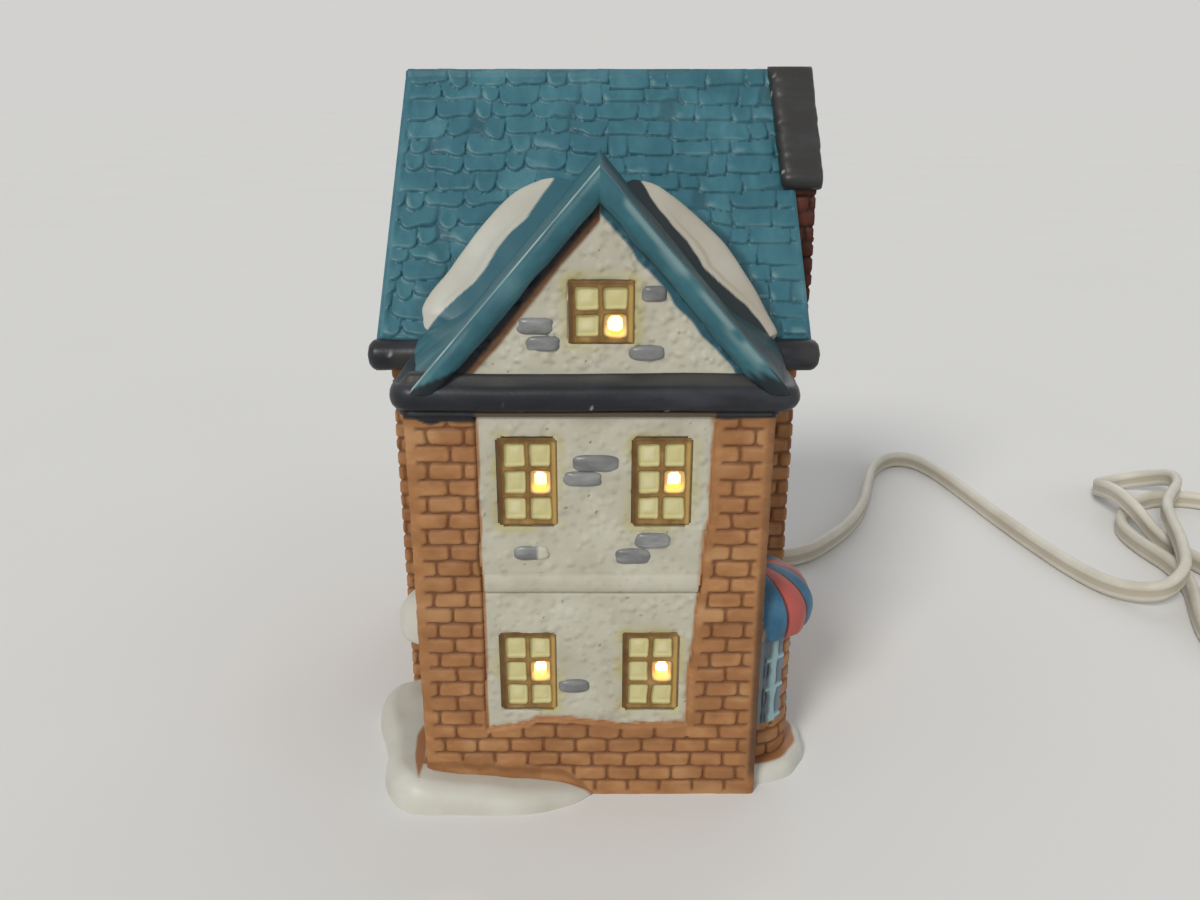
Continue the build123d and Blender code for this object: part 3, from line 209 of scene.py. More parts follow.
def paint(name, dark, middle, light, layers=(), rough=0.5, stretch=(1, 1, 1), size=110, bump=0.12, grain=1400,
          coat=0.0, metal=0.0, glow=None):
    """A hand paint: three shades in brushed noise, then a colour over it for each named attribute."""
    material, tree, shader, place = blank_paint(name)
    brush = tree.nodes.new("ShaderNodeMapping")
    put(brush, {"Scale": stretch})
    tree.links.new(place, brush.inputs["Vector"])
    strokes = noise_node(tree, brush.outputs["Vector"], size, 4.0, 0.6)
    shades = [(0.3, screen(*dark)), (0.5, screen(*middle)), (0.72, screen(*light))]
    colour = ramp_node(tree, strokes, shades)
    for attribute, above in layers:
        colour = over(tree, attribute_node(tree, attribute), colour, screen(*above))
    tree.links.new(colour, shader.inputs["Base Color"])
    gloss = tree.nodes.new("ShaderNodeMapRange")
    put(gloss, {"To Min": rough - ROUGH_SWING, "To Max": rough + ROUGH_SWING})
    tree.links.new(noise_node(tree, place, 260, 2.0), gloss.inputs["Value"])
    tree.links.new(gloss.outputs["Result"], shader.inputs["Roughness"])
    bumps = tree.nodes.new("ShaderNodeBump")
    put(bumps, {"Strength": bump, "Distance": BUMP_HEIGHT})
    tree.links.new(noise_node(tree, place, grain, 3.0), bumps.inputs["Height"])
    tree.links.new(bumps.outputs["Normal"], shader.inputs["Normal"])
    # An optional emission read from an attribute, for painted glow on a surface that is no lamp.
    if glow:
        attribute, glow_colour, strength = glow
        warmth = tree.nodes.new("ShaderNodeMath")
        warmth.operation = "MULTIPLY"
        warmth.inputs[1].default_value = strength
        tree.links.new(attribute_node(tree, attribute), warmth.inputs[0])
        tree.links.new(warmth.outputs[0], shader.inputs["Emission Strength"])
        put(shader, {"Emission Color": glow_colour})
    put(shader, {"Metallic": metal, "Specular IOR Level": 0.5 if metal else 0.25})
    put(shader, {"Coat Weight": coat, "Coat Roughness": 0.25})
    return material


def finish(node, material):
    """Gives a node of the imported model, which keeps its shape, a paint of this lesson."""
    nodes[node].data.materials.clear()
    nodes[node].data.materials.append(material)


print("paint helper ready")

# %% [markdown]
# Clay pressed in a mould has no sharp grid: lines wander, faces swell, pits stay where air was caught.
# Two small functions give that. One makes smooth lumps of a chosen size, the other makes round dents.
# Both work on whole arrays of points at once, which is quick enough for meshes of many thousand points.
# Each takes a seed, a whole number that gives every surface lumps of its own.

# %% Lumps and dents
def hashed(i, j, seed):
    """A number between 0 and 1 for each pair, scattered but the same in every run."""
    value = np.sin(i * 127.1 + j * 311.7 + seed * 74.7) * 43758.5453
    return value - np.floor(value)


def smooth(low, high, value):
    """A soft step from 0 at low to 1 at high; low may be the larger one."""
    share = np.clip((value - low) / (high - low), 0, 1)
    return share * share * (3 - 2 * share)


def quarter_round(share):
    """A round shoulder: 1 up to a share of 0, then down to 0 at 1."""
    return np.sqrt(np.clip(1 - np.clip(share, 0, 1) ** 2, 0, 1))


def lumps(u, v, cell, seed):
    """Smooth swellings between -1 and 1, about one in each cell."""
    x = np.asarray(u, float) / cell
    y = np.asarray(v, float) / cell
    i = np.floor(x)
    j = np.floor(y)
    a = smooth(0, 1, x - i)
    b = smooth(0, 1, y - j)
    low = hashed(i, j, seed) * (1 - a) + hashed(i + 1, j, seed) * a
    high = hashed(i, j + 1, seed) * (1 - a) + hashed(i + 1, j + 1, seed) * a
    return 2 * (low * (1 - b) + high * b) - 1


def waver(u, cell, seed):
    """Swellings along one line only, for edges that wander."""
    return lumps(u, 0 * u, cell, seed)


def dents(u, v, cell, radius, seed, chance):
    """Round dents, 1 at their middles, one in each cell at most."""
    i = np.floor(u / cell)
    j = np.floor(v / cell)
    depth = np.zeros(np.broadcast(u, v).shape)
    for near_i in (-1, 0, 1):
        for near_j in (-1, 0, 1):
            ci = i + near_i
            cj = j + near_j
            middle_u = (ci + hashed(ci, cj, seed)) * cell
            middle_v = (cj + hashed(ci, cj, seed + 1)) * cell
            reach = radius * (0.5 + hashed(ci, cj, seed + 2))
            away = np.hypot(u - middle_u, v - middle_v) / reach
            there = hashed(ci, cj, seed + 3) < chance
            depth = np.maximum(depth, np.clip(1 - away * away, 0, 1) * there)
    return depth


print("lumps from", waver(np.arange(40), 7, 1).round(1).min(), "to 1")

# %% [markdown]
# Nearly every piece is a sheet of points that is pushed out from a base surface: a wall, a slope, a pane.
# The helper below turns such a sheet into a mesh. Cells can be left out for openings, and along every free
# border the sheet is folded back into the wall, so no edge looks like paper. A finished piece rides on a
# body and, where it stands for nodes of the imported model, is shown in their place.

# %% Relief helper
def grid(low, high, count, first, last, rows):
    """Two arrays over a grid: one runs from low to high along each row, the other from row to row."""
    return np.meshgrid(np.linspace(low, high, count), np.linspace(first, last, rows))


def around(count):
    """Angles once round, without the last, which is the first again."""
    return np.linspace(0, 2 * math.pi, count, endpoint=False)


def cells(mask):
    """A cell belongs to a zone when its four corners mostly do."""
    share = mask[:-1, :-1].astype(int) + mask[1:, :-1] + mask[:-1, 1:] + mask[1:, 1:]
    return share >= 2


def folded_sheet(place, out, rise, keep=None, depth=2.0, marks=None):
    """Points, faces and attributes of a sheet that stands proud of its base places by its rise, in mm."""
    rows, cols = rise.shape
    count = rows * cols
    out = np.broadcast_to(out, place.shape)
    if keep is None:
        keep = np.ones((rows - 1, cols - 1), bool)
    outside = (place + out * rise[..., None]).reshape(-1, 3)
    points = np.concatenate([outside, (place - out * depth).reshape(-1, 3)])
    at = np.arange(count).reshape(rows, cols)
    corners = [at[:-1, :-1], at[:-1, 1:], at[1:, 1:], at[1:, :-1]]
    faces = [np.stack(corners, -1)[keep]]
    padded = np.pad(keep, 1)
    beside = [padded[:-2, 1:-1], padded[1:-1, 2:], padded[2:, 1:-1], padded[1:-1, :-2]]
    for side in range(4):
        free = keep & ~beside[side]
        first = corners[side][free]
        second = corners[(side + 1) % 4][free]
        faces.append(np.stack([second, first, first + count, second + count], -1))
    faces = np.concatenate(faces)
    used, inverse = np.unique(faces, return_inverse=True)
    layers = {}
    for key, values in (marks or {}).items():
        layers[key] = np.tile(np.broadcast_to(values, rise.shape).ravel(), 2)[used]
    return points[used], inverse.reshape(faces.shape), layers


def grid_sheet(points, marks=None, closed=False, flip=False):
    """The same for a plain grid of places; closed joins its last column to its first, flip turns it over."""
    rows, cols = points.shape[:2]
    step = -1 if flip else 1
    at = np.arange(rows * cols).reshape(rows, cols)
    if closed:
        at = np.concatenate([at, at[:, :1]], axis=1)
    faces = np.stack([at[:-1, :-1], at[:-1, 1:], at[1:, 1:], at[1:, :-1]], -1).reshape(-1, 4)
    layers = {}
    for key, values in (marks or {}).items():
        layers[key] = np.broadcast_to(values, (rows, cols))[::step].ravel()
    return points[::step].reshape(-1, 3), faces, layers


def clay(name, sheets, material, stands_for=(), body="house", crease=50):
    """One named piece from one or more sheets, smooth but for its creases, riding on a body."""
    points = []
    faces = []
    layers = {}
    start = 0
    for sheet_points, sheet_faces, sheet_layers in sheets:
        points.append(sheet_points)
        faces.append(sheet_faces + start)
        start += len(sheet_points)
        for key, values in sheet_layers.items():
            layers.setdefault(key, []).append(values)
    mesh = bpy.data.meshes.new(name)
    mesh.from_pydata((np.concatenate(points) * MM).tolist(), [], np.concatenate(faces).tolist())
    for key, values in layers.items():
        layer = mesh.attributes.new(key, "FLOAT", "POINT")
        layer.data.foreach_set("value", np.concatenate(values).astype(np.float32))
    mesh.shade_smooth()
    mesh.set_sharp_from_angle(angle=math.radians(crease))
    mesh.materials.append(material)
    piece = placed(name, mesh)
    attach(piece, body)
    if stands_for:
        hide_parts(*stands_for)
    print(name, len(mesh.vertices), "points")
    return piece


def wall_walk(corners, radius, step):
    """Walks a wall line seen from above with the outside on its right: places, outward ways, distances."""
    places = []
    ways = []
    corners = [np.array(corner, float) for corner in corners]
    here = corners[0]
    for index in range(1, len(corners)):
        leg = corners[index] - corners[index - 1]
        way = leg / np.linalg.norm(leg)
        out = np.array([way[1], -way[0]])
        last = index == len(corners) - 1
        end = corners[index] if last else corners[index] - way * radius
        count = max(2, int(np.linalg.norm(end - here) / step))
        for share in np.linspace(0, 1, count, endpoint=last):
            places.append(here + (end - here) * share)
            ways.append(out)
        if last:
            break
        after = corners[index + 1] - corners[index]
        after = after / np.linalg.norm(after)
        next_out = np.array([after[1], -after[0]])
        outside = float(np.dot(next_out, way)) > 0
        pivot = end - out * radius if outside else end + out * radius
        for share in np.linspace(0, 1, 6, endpoint=False):
            turn = math.cos(share * math.pi / 2) * out + math.sin(share * math.pi / 2) * next_out
            places.append(pivot + turn * radius if outside else pivot - turn * radius)
            ways.append(turn)
        here = corners[index] + after * radius
    places = np.array(places)
    ways = np.array(ways)
    distances = np.concatenate([[0], np.cumsum(np.linalg.norm(np.diff(places, axis=0), axis=1))])
    return places, ways, distances


def upright(places, ways, heights):
    """The places and outward ways of a wall line, repeated at each height."""
    shape = (len(heights), len(places), 3)
    base = np.zeros(shape)
    base[..., :2] = places[None]
    base[..., 2] = heights[:, None]
    out = np.zeros(shape)
    out[..., :2] = ways[None]
    return base, out


def round_wall(x, y, radius, angle, z):
    """Places round an upright axis, at a radius and an angle each."""
    z = np.broadcast_to(z, angle.shape)
    return np.stack([x + radius * np.cos(angle), y + radius * np.sin(angle), z], -1)


print("relief helpers ready")

# %% [markdown]
# The brick is a soft running bond, about 6 mm by 3 mm to each brick. The moulded joints are filled with a
# thin brown wash that runs off the brick faces, so the paint gets a dark colour in the joints and each brick
# gets its own tone. The mask of a brick is its distance from the nearest joint, with wandering lines.

# %% Brick field and brick paint
BRICK_HIGH, BRICK_LONG, JOINT = 3.3, 6.6, 0.5


def bricks(u, v, seed):
    """How far inside a brick each point is, 0 in a joint to 1 on a face, and a tone for each brick."""
    across = u + 0.3 * lumps(u, v, 5.3, seed) + 0.12 * lumps(u, v, 1.9, seed + 1)
    up = v + 0.14 * lumps(u, v, 4.1, seed + 2) + 0.08 * lumps(u, v, 1.7, seed + 3)
    row = np.floor(up / BRICK_HIGH)
    along = across / BRICK_LONG + 0.5 * np.mod(row, 2) + 0.22 * (hashed(row, 3.0, seed) - 0.5)
    number = np.floor(along)
    edge_u = (0.5 - np.abs(along - number - 0.5)) * BRICK_LONG
    edge_v = (0.5 - np.abs(up / BRICK_HIGH - row - 0.5)) * BRICK_HIGH
    near = np.clip(1.0 - edge_u, 0, 1) ** 2 + np.clip(1.0 - edge_v, 0, 1) ** 2
    return smooth(0.05, JOINT, 1.0 - np.sqrt(near)), hashed(number, row, seed + 5)


def brick_marks(face, tone):
    """The attributes that the brick paint reads: wash in the joints, a tone for each brick."""
    return {"groove": (1 - face) * 0.85, "tone": np.clip(tone - 0.35, 0, 1) * 0.7}


BRICK_SHADES = (140, 95, 58), (158, 111, 70), (174, 129, 86)
BRICK_TONE, BRICK_WASH = (130, 87, 52), (98, 60, 35)
brick_paint = paint(
    "brick_paint", *BRICK_SHADES,
    layers=[("tone", BRICK_TONE), ("smear", (182, 142, 100)), ("groove", BRICK_WASH), ("edge", (30, 31, 34))],
    rough=0.58, size=150, stretch=(1, 1, 1.6),
)
bisque = paint("bisque_inside", (206, 198, 182), (222, 214, 198), (232, 226, 212), rough=0.75, bump=0.2)
for core in ("main_walls", "wing_walls", "gable_wall"):
    finish(core, bisque)
print("brick paint and the bare clay inside")

# %% [markdown]
# The front wing is one sheet wrapped round three sides, so the brick corners are unbroken and softly round
# as in a casting. Zones of that sheet become separate pieces: the brickwork, two stucco panels, and the roll
# that divides them. The windows and the stucco's wavy hand-cut edge are worked out from the same points.

# %% Front wing zones
WING_LEFT, WING_RIGHT, WING_TOP = -33.65, 32.35, 82.6
WING_FRONT, MAIN_FRONT, MAIN_BACK = -45.75, -12.75, 47.25
STUCCO_LEFT, STUCCO_RIGHT, STUCCO_WIDENS = -21.2, 17.9, 4.3
STRING_LOW, STRING_MIDDLE, STRING_HIGH = 45.6, 48.2, 50.2
FRONT_WINDOWS = [(-12.15, 68.7), (12.55, 68.7), (-12.85, 28.6), (11.15, 28.6)]
WINDOW_SIZE, WINDOW_CORNER = (11.0, 17.3), 0.8
FAR_OFF = 99.0
PLINTH_LINE = np.array([
    (-21.4, 15.6), (-16.3, 16.5), (-13.0, 17.0), (-11.6, 18.0), (-4.6, 18.0), (0.3, 17.4), (5.4, 16.5),
    (9.5, 16.9),
])
WASH_LINE = np.array([(-34.0, 8.0), (-20.0, 7.4), (-6.8, 6.2), (-4.0, 4.4), (-2.0, 2.8), (0.5, -1.0)])

wing_walk, wing_ways, wing_run = wall_walk(
    [(WING_LEFT, MAIN_FRONT), (WING_LEFT, WING_FRONT), (WING_RIGHT, WING_FRONT), (WING_RIGHT, MAIN_FRONT)],
    0.5, 0.34,
)
wing_base, wing_out = upright(wing_walk, wing_ways, np.linspace(0, WING_TOP, 236))
wing_x = wing_base[..., 0]
wing_z = wing_base[..., 2]
wing_u = np.broadcast_to(wing_run, wing_x.shape)
front = smooth(0.5, 0.95, -wing_out[..., 1])

left_edge = STUCCO_LEFT + 0.25 * waver(wing_z, 6, 11)
right_edge = STUCCO_RIGHT + STUCCO_WIDENS * smooth(8, 82, wing_z) + 0.5 * waver(wing_z, 7, 12)
plinth_top = np.interp(wing_x, *PLINTH_LINE.T) + 0.15 * waver(wing_x, 2.5, 14)
into_stucco = np.minimum(np.minimum(wing_x - left_edge, right_edge - wing_x), wing_z - plinth_top)
into_stucco = np.where(front > 0.5, into_stucco, -9.0)
stucco_zone = into_stucco > 0
string_zone = stucco_zone & (wing_z > STRING_LOW) & (wing_z < STRING_HIGH)


def rounded_box(x, z, half_x, half_z, radius):
    """Distance outside a box with round corners, negative inside."""
    qx = np.abs(x) - half_x + radius
    qz = np.abs(z) - half_z + radius
    return np.hypot(np.clip(qx, 0, None), np.clip(qz, 0, None)) + np.minimum(np.maximum(qx, qz), 0) - radius


def from_windows(x, z, centres, size=WINDOW_SIZE):
    """Distance outside the round-cornered edge of the nearest window, negative inside it."""
    half_x, half_z = size[0] / 2, size[1] / 2
    return np.min([rounded_box(x - a, z - b, half_x, half_z, WINDOW_CORNER) for a, b in centres], axis=0)


window_away = np.where(front > 0.5, from_windows(wing_x, wing_z, FRONT_WINDOWS), FAR_OFF)
print("wing sheet", wing_x.shape, "stucco share", round(float(stucco_zone.mean()), 3))

# %% [markdown]
# Now the heights. A brick stands half a millimetre out of its joint. Next to the stucco and at the corners
# the mould has plain strips without joints. The stucco swells and has pits, and close to each window a
# yellow haze of overspray was left by the airbrush. Brown strokes run along the plinth's edge. Shade is
# painted in as well: a dark strip down the wing's right corner, and a dark line on the brick beside the left
# stucco edge that is partly brown paint and partly painted shadow of the proud pilaster.

# %% Front wing pieces
stucco_glaze = paint(
    "stucco_glaze", (167, 162, 144), (179, 175, 158), (188, 185, 169),
    layers=[
        ("groove", (132, 125, 107)), ("haze", (172, 161, 88)), ("stray", (156, 109, 70)),
        ("umber", (104, 72, 47)), ("edge", (28, 30, 34)), ("teal", (42, 84, 97)), ("speck", (52, 44, 36)),
    ],
    rough=0.52, size=90, bump=0.08,
)

face, tone = bricks(wing_u, wing_z, 3)
under_wash = np.interp(wing_x, *WASH_LINE.T) - wing_z + 0.25 * waver(wing_x, 3, 15)
paint_foot = 80.9 - 0.9 * np.exp(-(((wing_x + 29.5) / 2.2) ** 2)) + 0.5 * waver(wing_x, 4, 40)
dark_top = smooth(-0.2, 0.25, wing_z - paint_foot) * front
plain = np.maximum.reduce([
    smooth(1.9, 1.2, np.abs(wing_x - WING_LEFT)) * smooth(0.2, 0.9, front),
    smooth(1.9, 1.2, np.abs(wing_x - WING_RIGHT)) * smooth(0.2, 0.9, front),
    smooth(2.1, 1.5, wing_x - right_edge) * (wing_x > right_edge) * front * (wing_z > 14),
    smooth(-0.2, 0.3, under_wash) * front,
    smooth(1.0, 0.5, wing_z) * front,
    smooth(-1.5, -0.7, into_stucco) * (wing_z < 20) * front,
    dark_top,
])
ragged = under_wash + 0.5 * lumps(wing_x, wing_z * 2, 4, 16)
wash_rim = smooth(0.0, 0.3, under_wash) * smooth(2.2, 1.0, ragged) * front
brick_face = np.maximum(face, plain)
brick_rise = 0.3 + 0.65 * front + 0.46 * brick_face + 0.08 * (tone - 0.5) * face
brick_rise = brick_rise + 0.07 * lumps(wing_u, wing_z, 2.2, 21) + 0.1 * lumps(wing_u, wing_z, 9, 22) * front
brick_rise = brick_rise * (1 - 0.45 * smooth(-0.8, 0.0, into_stucco))

calm = smooth(81.4, 79.4, wing_z)
pits = dents(wing_x, wing_z, 1.9, 0.62, 31, 0.6) * calm
swell = 0.09 * lumps(wing_x, wing_z, 2.3, 32) + 0.12 * lumps(wing_x, wing_z, 5.1, 33)
pimples = dents(wing_x, wing_z, 2.3, 0.8, 34, 0.5)
stucco_rise = 0.82 + (swell + 0.28 * pimples) * calm - 0.22 * pits
stucco_rise -= 0.15 * smooth(0.8, 0.0, into_stucco)
stucco_rise -= 0.2 * smooth(0.7, 0.0, window_away)
roll = quarter_round(np.abs(wing_z - STRING_MIDDLE) / 2.0)
string_rise = 0.85 + 0.95 * roll + 0.1 * lumps(wing_x, wing_z, 4, 35)
string_rise -= 0.4 * smooth(0.5, 0.0, np.abs(wing_z - STRING_LOW - 0.3))
wing_rise = brick_rise + (stucco_rise - brick_rise) * smooth(-0.4, 0.2, into_stucco)
wing_rise = np.where(string_zone, string_rise, wing_rise)

stray = 0.7 * smooth(1.1, 0.2, into_stucco) * smooth(0.0, 0.7, lumps(wing_x * 0.45, wing_z, 2.6, 36))
stray *= (wing_z < 22) | (wing_x > 12)
# A dark line on the brick beside the left stucco edge: partly brown paint, partly painted shadow of the proud
# pilaster.
paint_and_shadow_line = smooth(-0.75, -0.2, into_stucco) * (wing_x < 0) * (wing_z > 20) * front
# Painted shade: a dark strip down the wing's rounded right corner, which turns away from the light.
corner_shade = 0.7 * smooth(1.9, 0.7, WING_RIGHT + 0.4 - wing_x) * smooth(2, 6, wing_z)
corner_shade = corner_shade * (0.4 + 0.6 * smooth(62, 42, wing_z)) * smooth(0.0, 0.5, front)
wing_marks = {
    **brick_marks(brick_face, tone),
    "speck": dents(wing_x, wing_z, 6.0, 0.23, 39, 0.35) * stucco_zone * 0.9,
    "edge": np.maximum(dark_top, corner_shade) * ~stucco_zone,
    "smear": smooth(0.25, 0.9, lumps(wing_u, wing_z, 6, 38)) * 0.5,
    "haze": smooth(2.4, 0.2, window_away) * smooth(-0.7, 0.7, lumps(wing_x, wing_z, 4.2, 37)) * 0.6,
    "stray": np.maximum(stray, smooth(0.35, 0.05, into_stucco)),
}
brown = np.maximum.reduce([wing_marks["groove"], 0.9 * paint_and_shadow_line, 0.45 * wash_rim])
wing_marks["groove"] = np.where(stucco_zone, 0.18 * pits, brown)

opening = cells(window_away < 0.0)
in_string = cells(string_zone)
in_stucco = cells(stucco_zone)
panels = in_stucco & ~in_string
above = (wing_z[:-1, :-1] + wing_z[1:, 1:]) / 2 > 48
for name, zone, material, slot, stands_for in (
    ("wing_brickwork", ~in_stucco, brick_paint, "brick", ("plinth_band", "pilaster_left", "pilaster_right")),
    ("stucco_panel_upper", panels & above, stucco_glaze, "stucco", ("stucco_upper",)),
    ("stucco_panel_lower", panels & ~above, stucco_glaze, "stucco", ("stucco_lower",)),
    ("string_roll", in_string, stucco_glaze, "stucco", ("string_course",)),
):
    sheet = folded_sheet(wing_base, wing_out, wing_rise, zone & ~opening, 1.6, wing_marks)
    clay(name, [sheet], material, stands_for)

# %% [markdown]
# The main block behind the wing is brick all round, up to the eaves and into the two gable ends. It is again
# one wrapped sheet. Above the eaves the ends lean in a little, and cells over the roof line are left out.
# At the back a round opening is left where the lamp flange sits.

# %% Main block brickwork
MAIN_HALF, ROOF_HALF, GABLE_DRAFT, ROOF_THICK = 42.3, 45.0, 3.5, 3.5
EAVE_Z, RIDGE_Z, RIDGE_Y = 88.6, 141.5, 17.25
EAVE_FRONT, EAVE_BACK = -16.25, 50.75
ROOF_SLOPE = (RIDGE_Z - EAVE_Z) / (RIDGE_Y - EAVE_FRONT)
ROOF_FALL = ROOF_THICK * math.hypot(1, ROOF_SLOPE)
LAMP_X, LAMP_Z, LAMP_SEAT = -8.0, 24.5, 15.9
REAR_WINDOWS = [(-21.0, 66.0), (21.0, 66.0)]
SIDE_WINDOWS = [(RIDGE_Y, 30.0), (RIDGE_Y, 66.0)]


def roof_top(y):
    """Height of the main roof's plane over a place."""
    return RIDGE_Z - ROOF_SLOPE * np.abs(y - RIDGE_Y)


main_walk, main_ways, main_run = wall_walk(
    [
        (WING_RIGHT + 0.5, MAIN_FRONT), (MAIN_HALF, MAIN_FRONT), (MAIN_HALF, MAIN_BACK),
        (-MAIN_HALF, MAIN_BACK), (-MAIN_HALF, MAIN_FRONT), (WING_LEFT - 0.5, MAIN_FRONT),
    ],
    0.3, 0.45,
)
main_base, main_out = upright(main_walk, main_ways, np.linspace(0, 139, 310))
main_x = main_base[..., 0].copy()
main_y = main_base[..., 1]
main_z = main_base[..., 2]
lean = GABLE_DRAFT * np.clip((main_z - EAVE_Z) / (RIDGE_Z - EAVE_Z), 0, 1)
main_base[..., 0] -= np.sign(main_x) * lean * (np.abs(main_x) > MAIN_HALF - 2)
main_u = np.broadcast_to(main_run, main_x.shape)
face, tone = bricks(main_u, main_z, 41)
main_rise = 0.2 + 0.42 * face + 0.08 * (tone - 0.5) * face + 0.06 * lumps(main_u, main_z, 2.4, 42)

side_face = np.abs(main_out[..., 0]) > 0.9
rear_face = main_out[..., 1] > 0.9
shown = np.where(side_face, main_z < roof_top(main_y) - 2.6, main_z < EAVE_Z - ROOF_FALL + ROOF_THICK)
away = np.where(side_face, from_windows(main_y, main_z, SIDE_WINDOWS), FAR_OFF)
away = np.where(rear_face, from_windows(main_x, main_z, REAR_WINDOWS), away)
lamp_away = np.where(rear_face, np.hypot(main_x - LAMP_X, main_z - LAMP_Z) - LAMP_SEAT, FAR_OFF)
keep = cells(shown) & ~cells(away < 0) & ~cells(lamp_away < 0)
marks = {**brick_marks(face, tone), "smear": smooth(0.25, 0.9, lumps(main_u, main_z, 6, 43)) * 0.5}
clay("main_brickwork", [folded_sheet(main_base, main_out, main_rise, keep, 1.0, marks)], brick_paint)
print("main block bricked, roof slope", round(ROOF_SLOPE, 3))

# %% [markdown]
# The slates overlap: each is thin where the one above covers it and thick at its foot, which is what casts
# the small shadow. On the casting they are soft and uneven: widths differ, feet hang at different heights,
# and their lower left corners and feet are pale, partly the brush's dry strokes and partly painted highlight.
# For each point the topmost slate that reaches it is looked up in three neighbouring courses, and its
# thickness there is the height of the field.

# %% Slate field and slate paint
SLATE_COURSE, SLATE_WIDE, SLATE_ROUND = 4.15, 7.2, 1.3


def slates(u, v, seed):
    """Rise of the slates over a slope (v runs down it), pale marks at their corners and feet, a tone and the
    face.
    """
    across = u + 0.9 * lumps(u, v, 9.3, seed) + 0.3 * lumps(u, v, 3.1, seed + 1)
    down = (v + 0.5 * lumps(u, v, 11.0, seed + 2) + 0.28 * lumps(u, v, 4.2, seed + 3)) / SLATE_COURSE
    home = np.floor(down)
    number, row, to_side, to_left = np.zeros((4, *u.shape))
    to_foot = np.full(u.shape, -1.0)
    for step in (1, 0, -1):
        course_row = home + step
        along = across / SLATE_WIDE + hashed(course_row, 2.0, seed) * 3.0
        along = along + 0.24 * np.sin(along * 4.1 + course_row * 1.7)
        slate = np.floor(along)
        share = along - slate
        hang = 0.34 * (hashed(slate, course_row, seed + 4) - 0.45)
        cut = 0.3 * smooth(6, -14, u) * (2 * share - 1) ** 2
        left_over = (course_row + 1 + hang - cut - down) * SLATE_COURSE
        covers = left_over >= 0
        number = np.where(covers, slate, number)
        row = np.where(covers, course_row, row)
        to_side = np.where(covers, (0.5 - np.abs(share - 0.5)) * SLATE_WIDE, to_side)
        to_left = np.where(covers, share * SLATE_WIDE, to_left)
        to_foot = np.where(covers, left_over, to_foot)
    near = np.clip(SLATE_ROUND - to_side, 0, None) ** 2 + np.clip(SLATE_ROUND - to_foot, 0, None) ** 2
    inside = np.where(to_foot < SLATE_ROUND, SLATE_ROUND - np.sqrt(near), to_side)
    face = smooth(-0.15, 0.55, np.minimum(inside, to_side))
    tone = hashed(number, row, seed + 5)
    thick = 0.1 + 0.62 * np.clip(1 - to_foot / (SLATE_COURSE * 1.1), 0, 1) + 0.12 * (tone - 0.5)
    rise = face * thick + 0.05 * lumps(u, v, 1.8, seed + 6)
    # Pale lower left corners and feet: partly dry-brushed paint, partly painted highlight on the edges that
    # face the light.
    corner = smooth(2.4, 0.4, np.hypot(to_left - 0.5, to_foot - 0.4))
    corner = corner * smooth(0.25, 0.75, hashed(number, row, seed + 7))
    foot_rim = 0.6 * smooth(0.9, 0.35, to_foot) * smooth(0.4, 0.8, hashed(number, row, seed + 9))
    smudge_and_highlight = np.maximum(corner, foot_rim) * smooth(-0.5, 0.5, lumps(u, v, 2.1, seed + 8)) * face
    return rise, smudge_and_highlight, tone, face


slate_paint = paint(
    "slate_paint", (44, 90, 102), (56, 106, 118), (74, 122, 132),
    layers=[("tone", (44, 92, 106)), ("groove", (28, 58, 68)), ("wear_and_highlight", (120, 154, 157))],
    rough=0.45, size=150, stretch=(1.0, 0.55, 0.55), coat=0.05,
)
SNOW_LEFT = np.array([
    (9.3, 119.7), (13.2, 119.0), (18.9, 116.3), (24.4, 111.0), (29.2, 105.0), (32.0, 101.3), (34.8, 98.2),
    (36.4, 96.0), (37.1, 94.3), (36.9, 92.6), (36.4, 90.0),
])
SNOW_RIGHT = np.array([
    (7.2, 119.3), (11.6, 118.4), (14.8, 116.5), (18.0, 114.2), (21.4, 111.4), (26.6, 106.5), (30.7, 100.7),
    (32.7, 97.6), (34.6, 94.0), (36.6, 90.5), (36.6, 89.4), (35.9, 88.6),
])
slope_long = math.hypot(RIDGE_Y - EAVE_FRONT, RIDGE_Z - EAVE_Z)
slope_cos = (RIDGE_Y - EAVE_FRONT) / slope_long
slope_sin = (RIDGE_Z - EAVE_Z) / slope_long
GABLE_X, WING_RIDGE_Z, CORNICE_TOP, WING_ROOF_HALF = 1.25, 125.3, 86.8, 33.6
WING_SLOPE = (WING_RIDGE_Z - CORNICE_TOP) / WING_ROOF_HALF
print("slates of", round(slope_long / SLATE_COURSE, 1), "courses on each slope")

# %% [markdown]
# The roof is one sheet that runs from the front eave over the ridge to the back eave, so the ridge is a soft
# fold without a seam. Near the ridge the way out of the surface turns upright. Along the ends the mould has a
# plain strip, and the part of the front slope that the wing's roof hides is left out.

# %% Slate roof
def ridge_fold(run, cos, sin, axis):
    """Over a ridge: distance down from it, the side, how far the slope has set in, and the way out."""
    down = np.abs(run)
    way = np.where(run < 0, -1.0, 1.0)
    lie = smooth(0.0, 2.0, down)
    out = np.zeros((*run.shape, 3))
    out[..., axis] = way * sin * lie
    out[..., 2] = cos + (1 - cos) * (1 - lie)
    return down, way, lie, out / np.linalg.norm(out, axis=-1)[..., None]


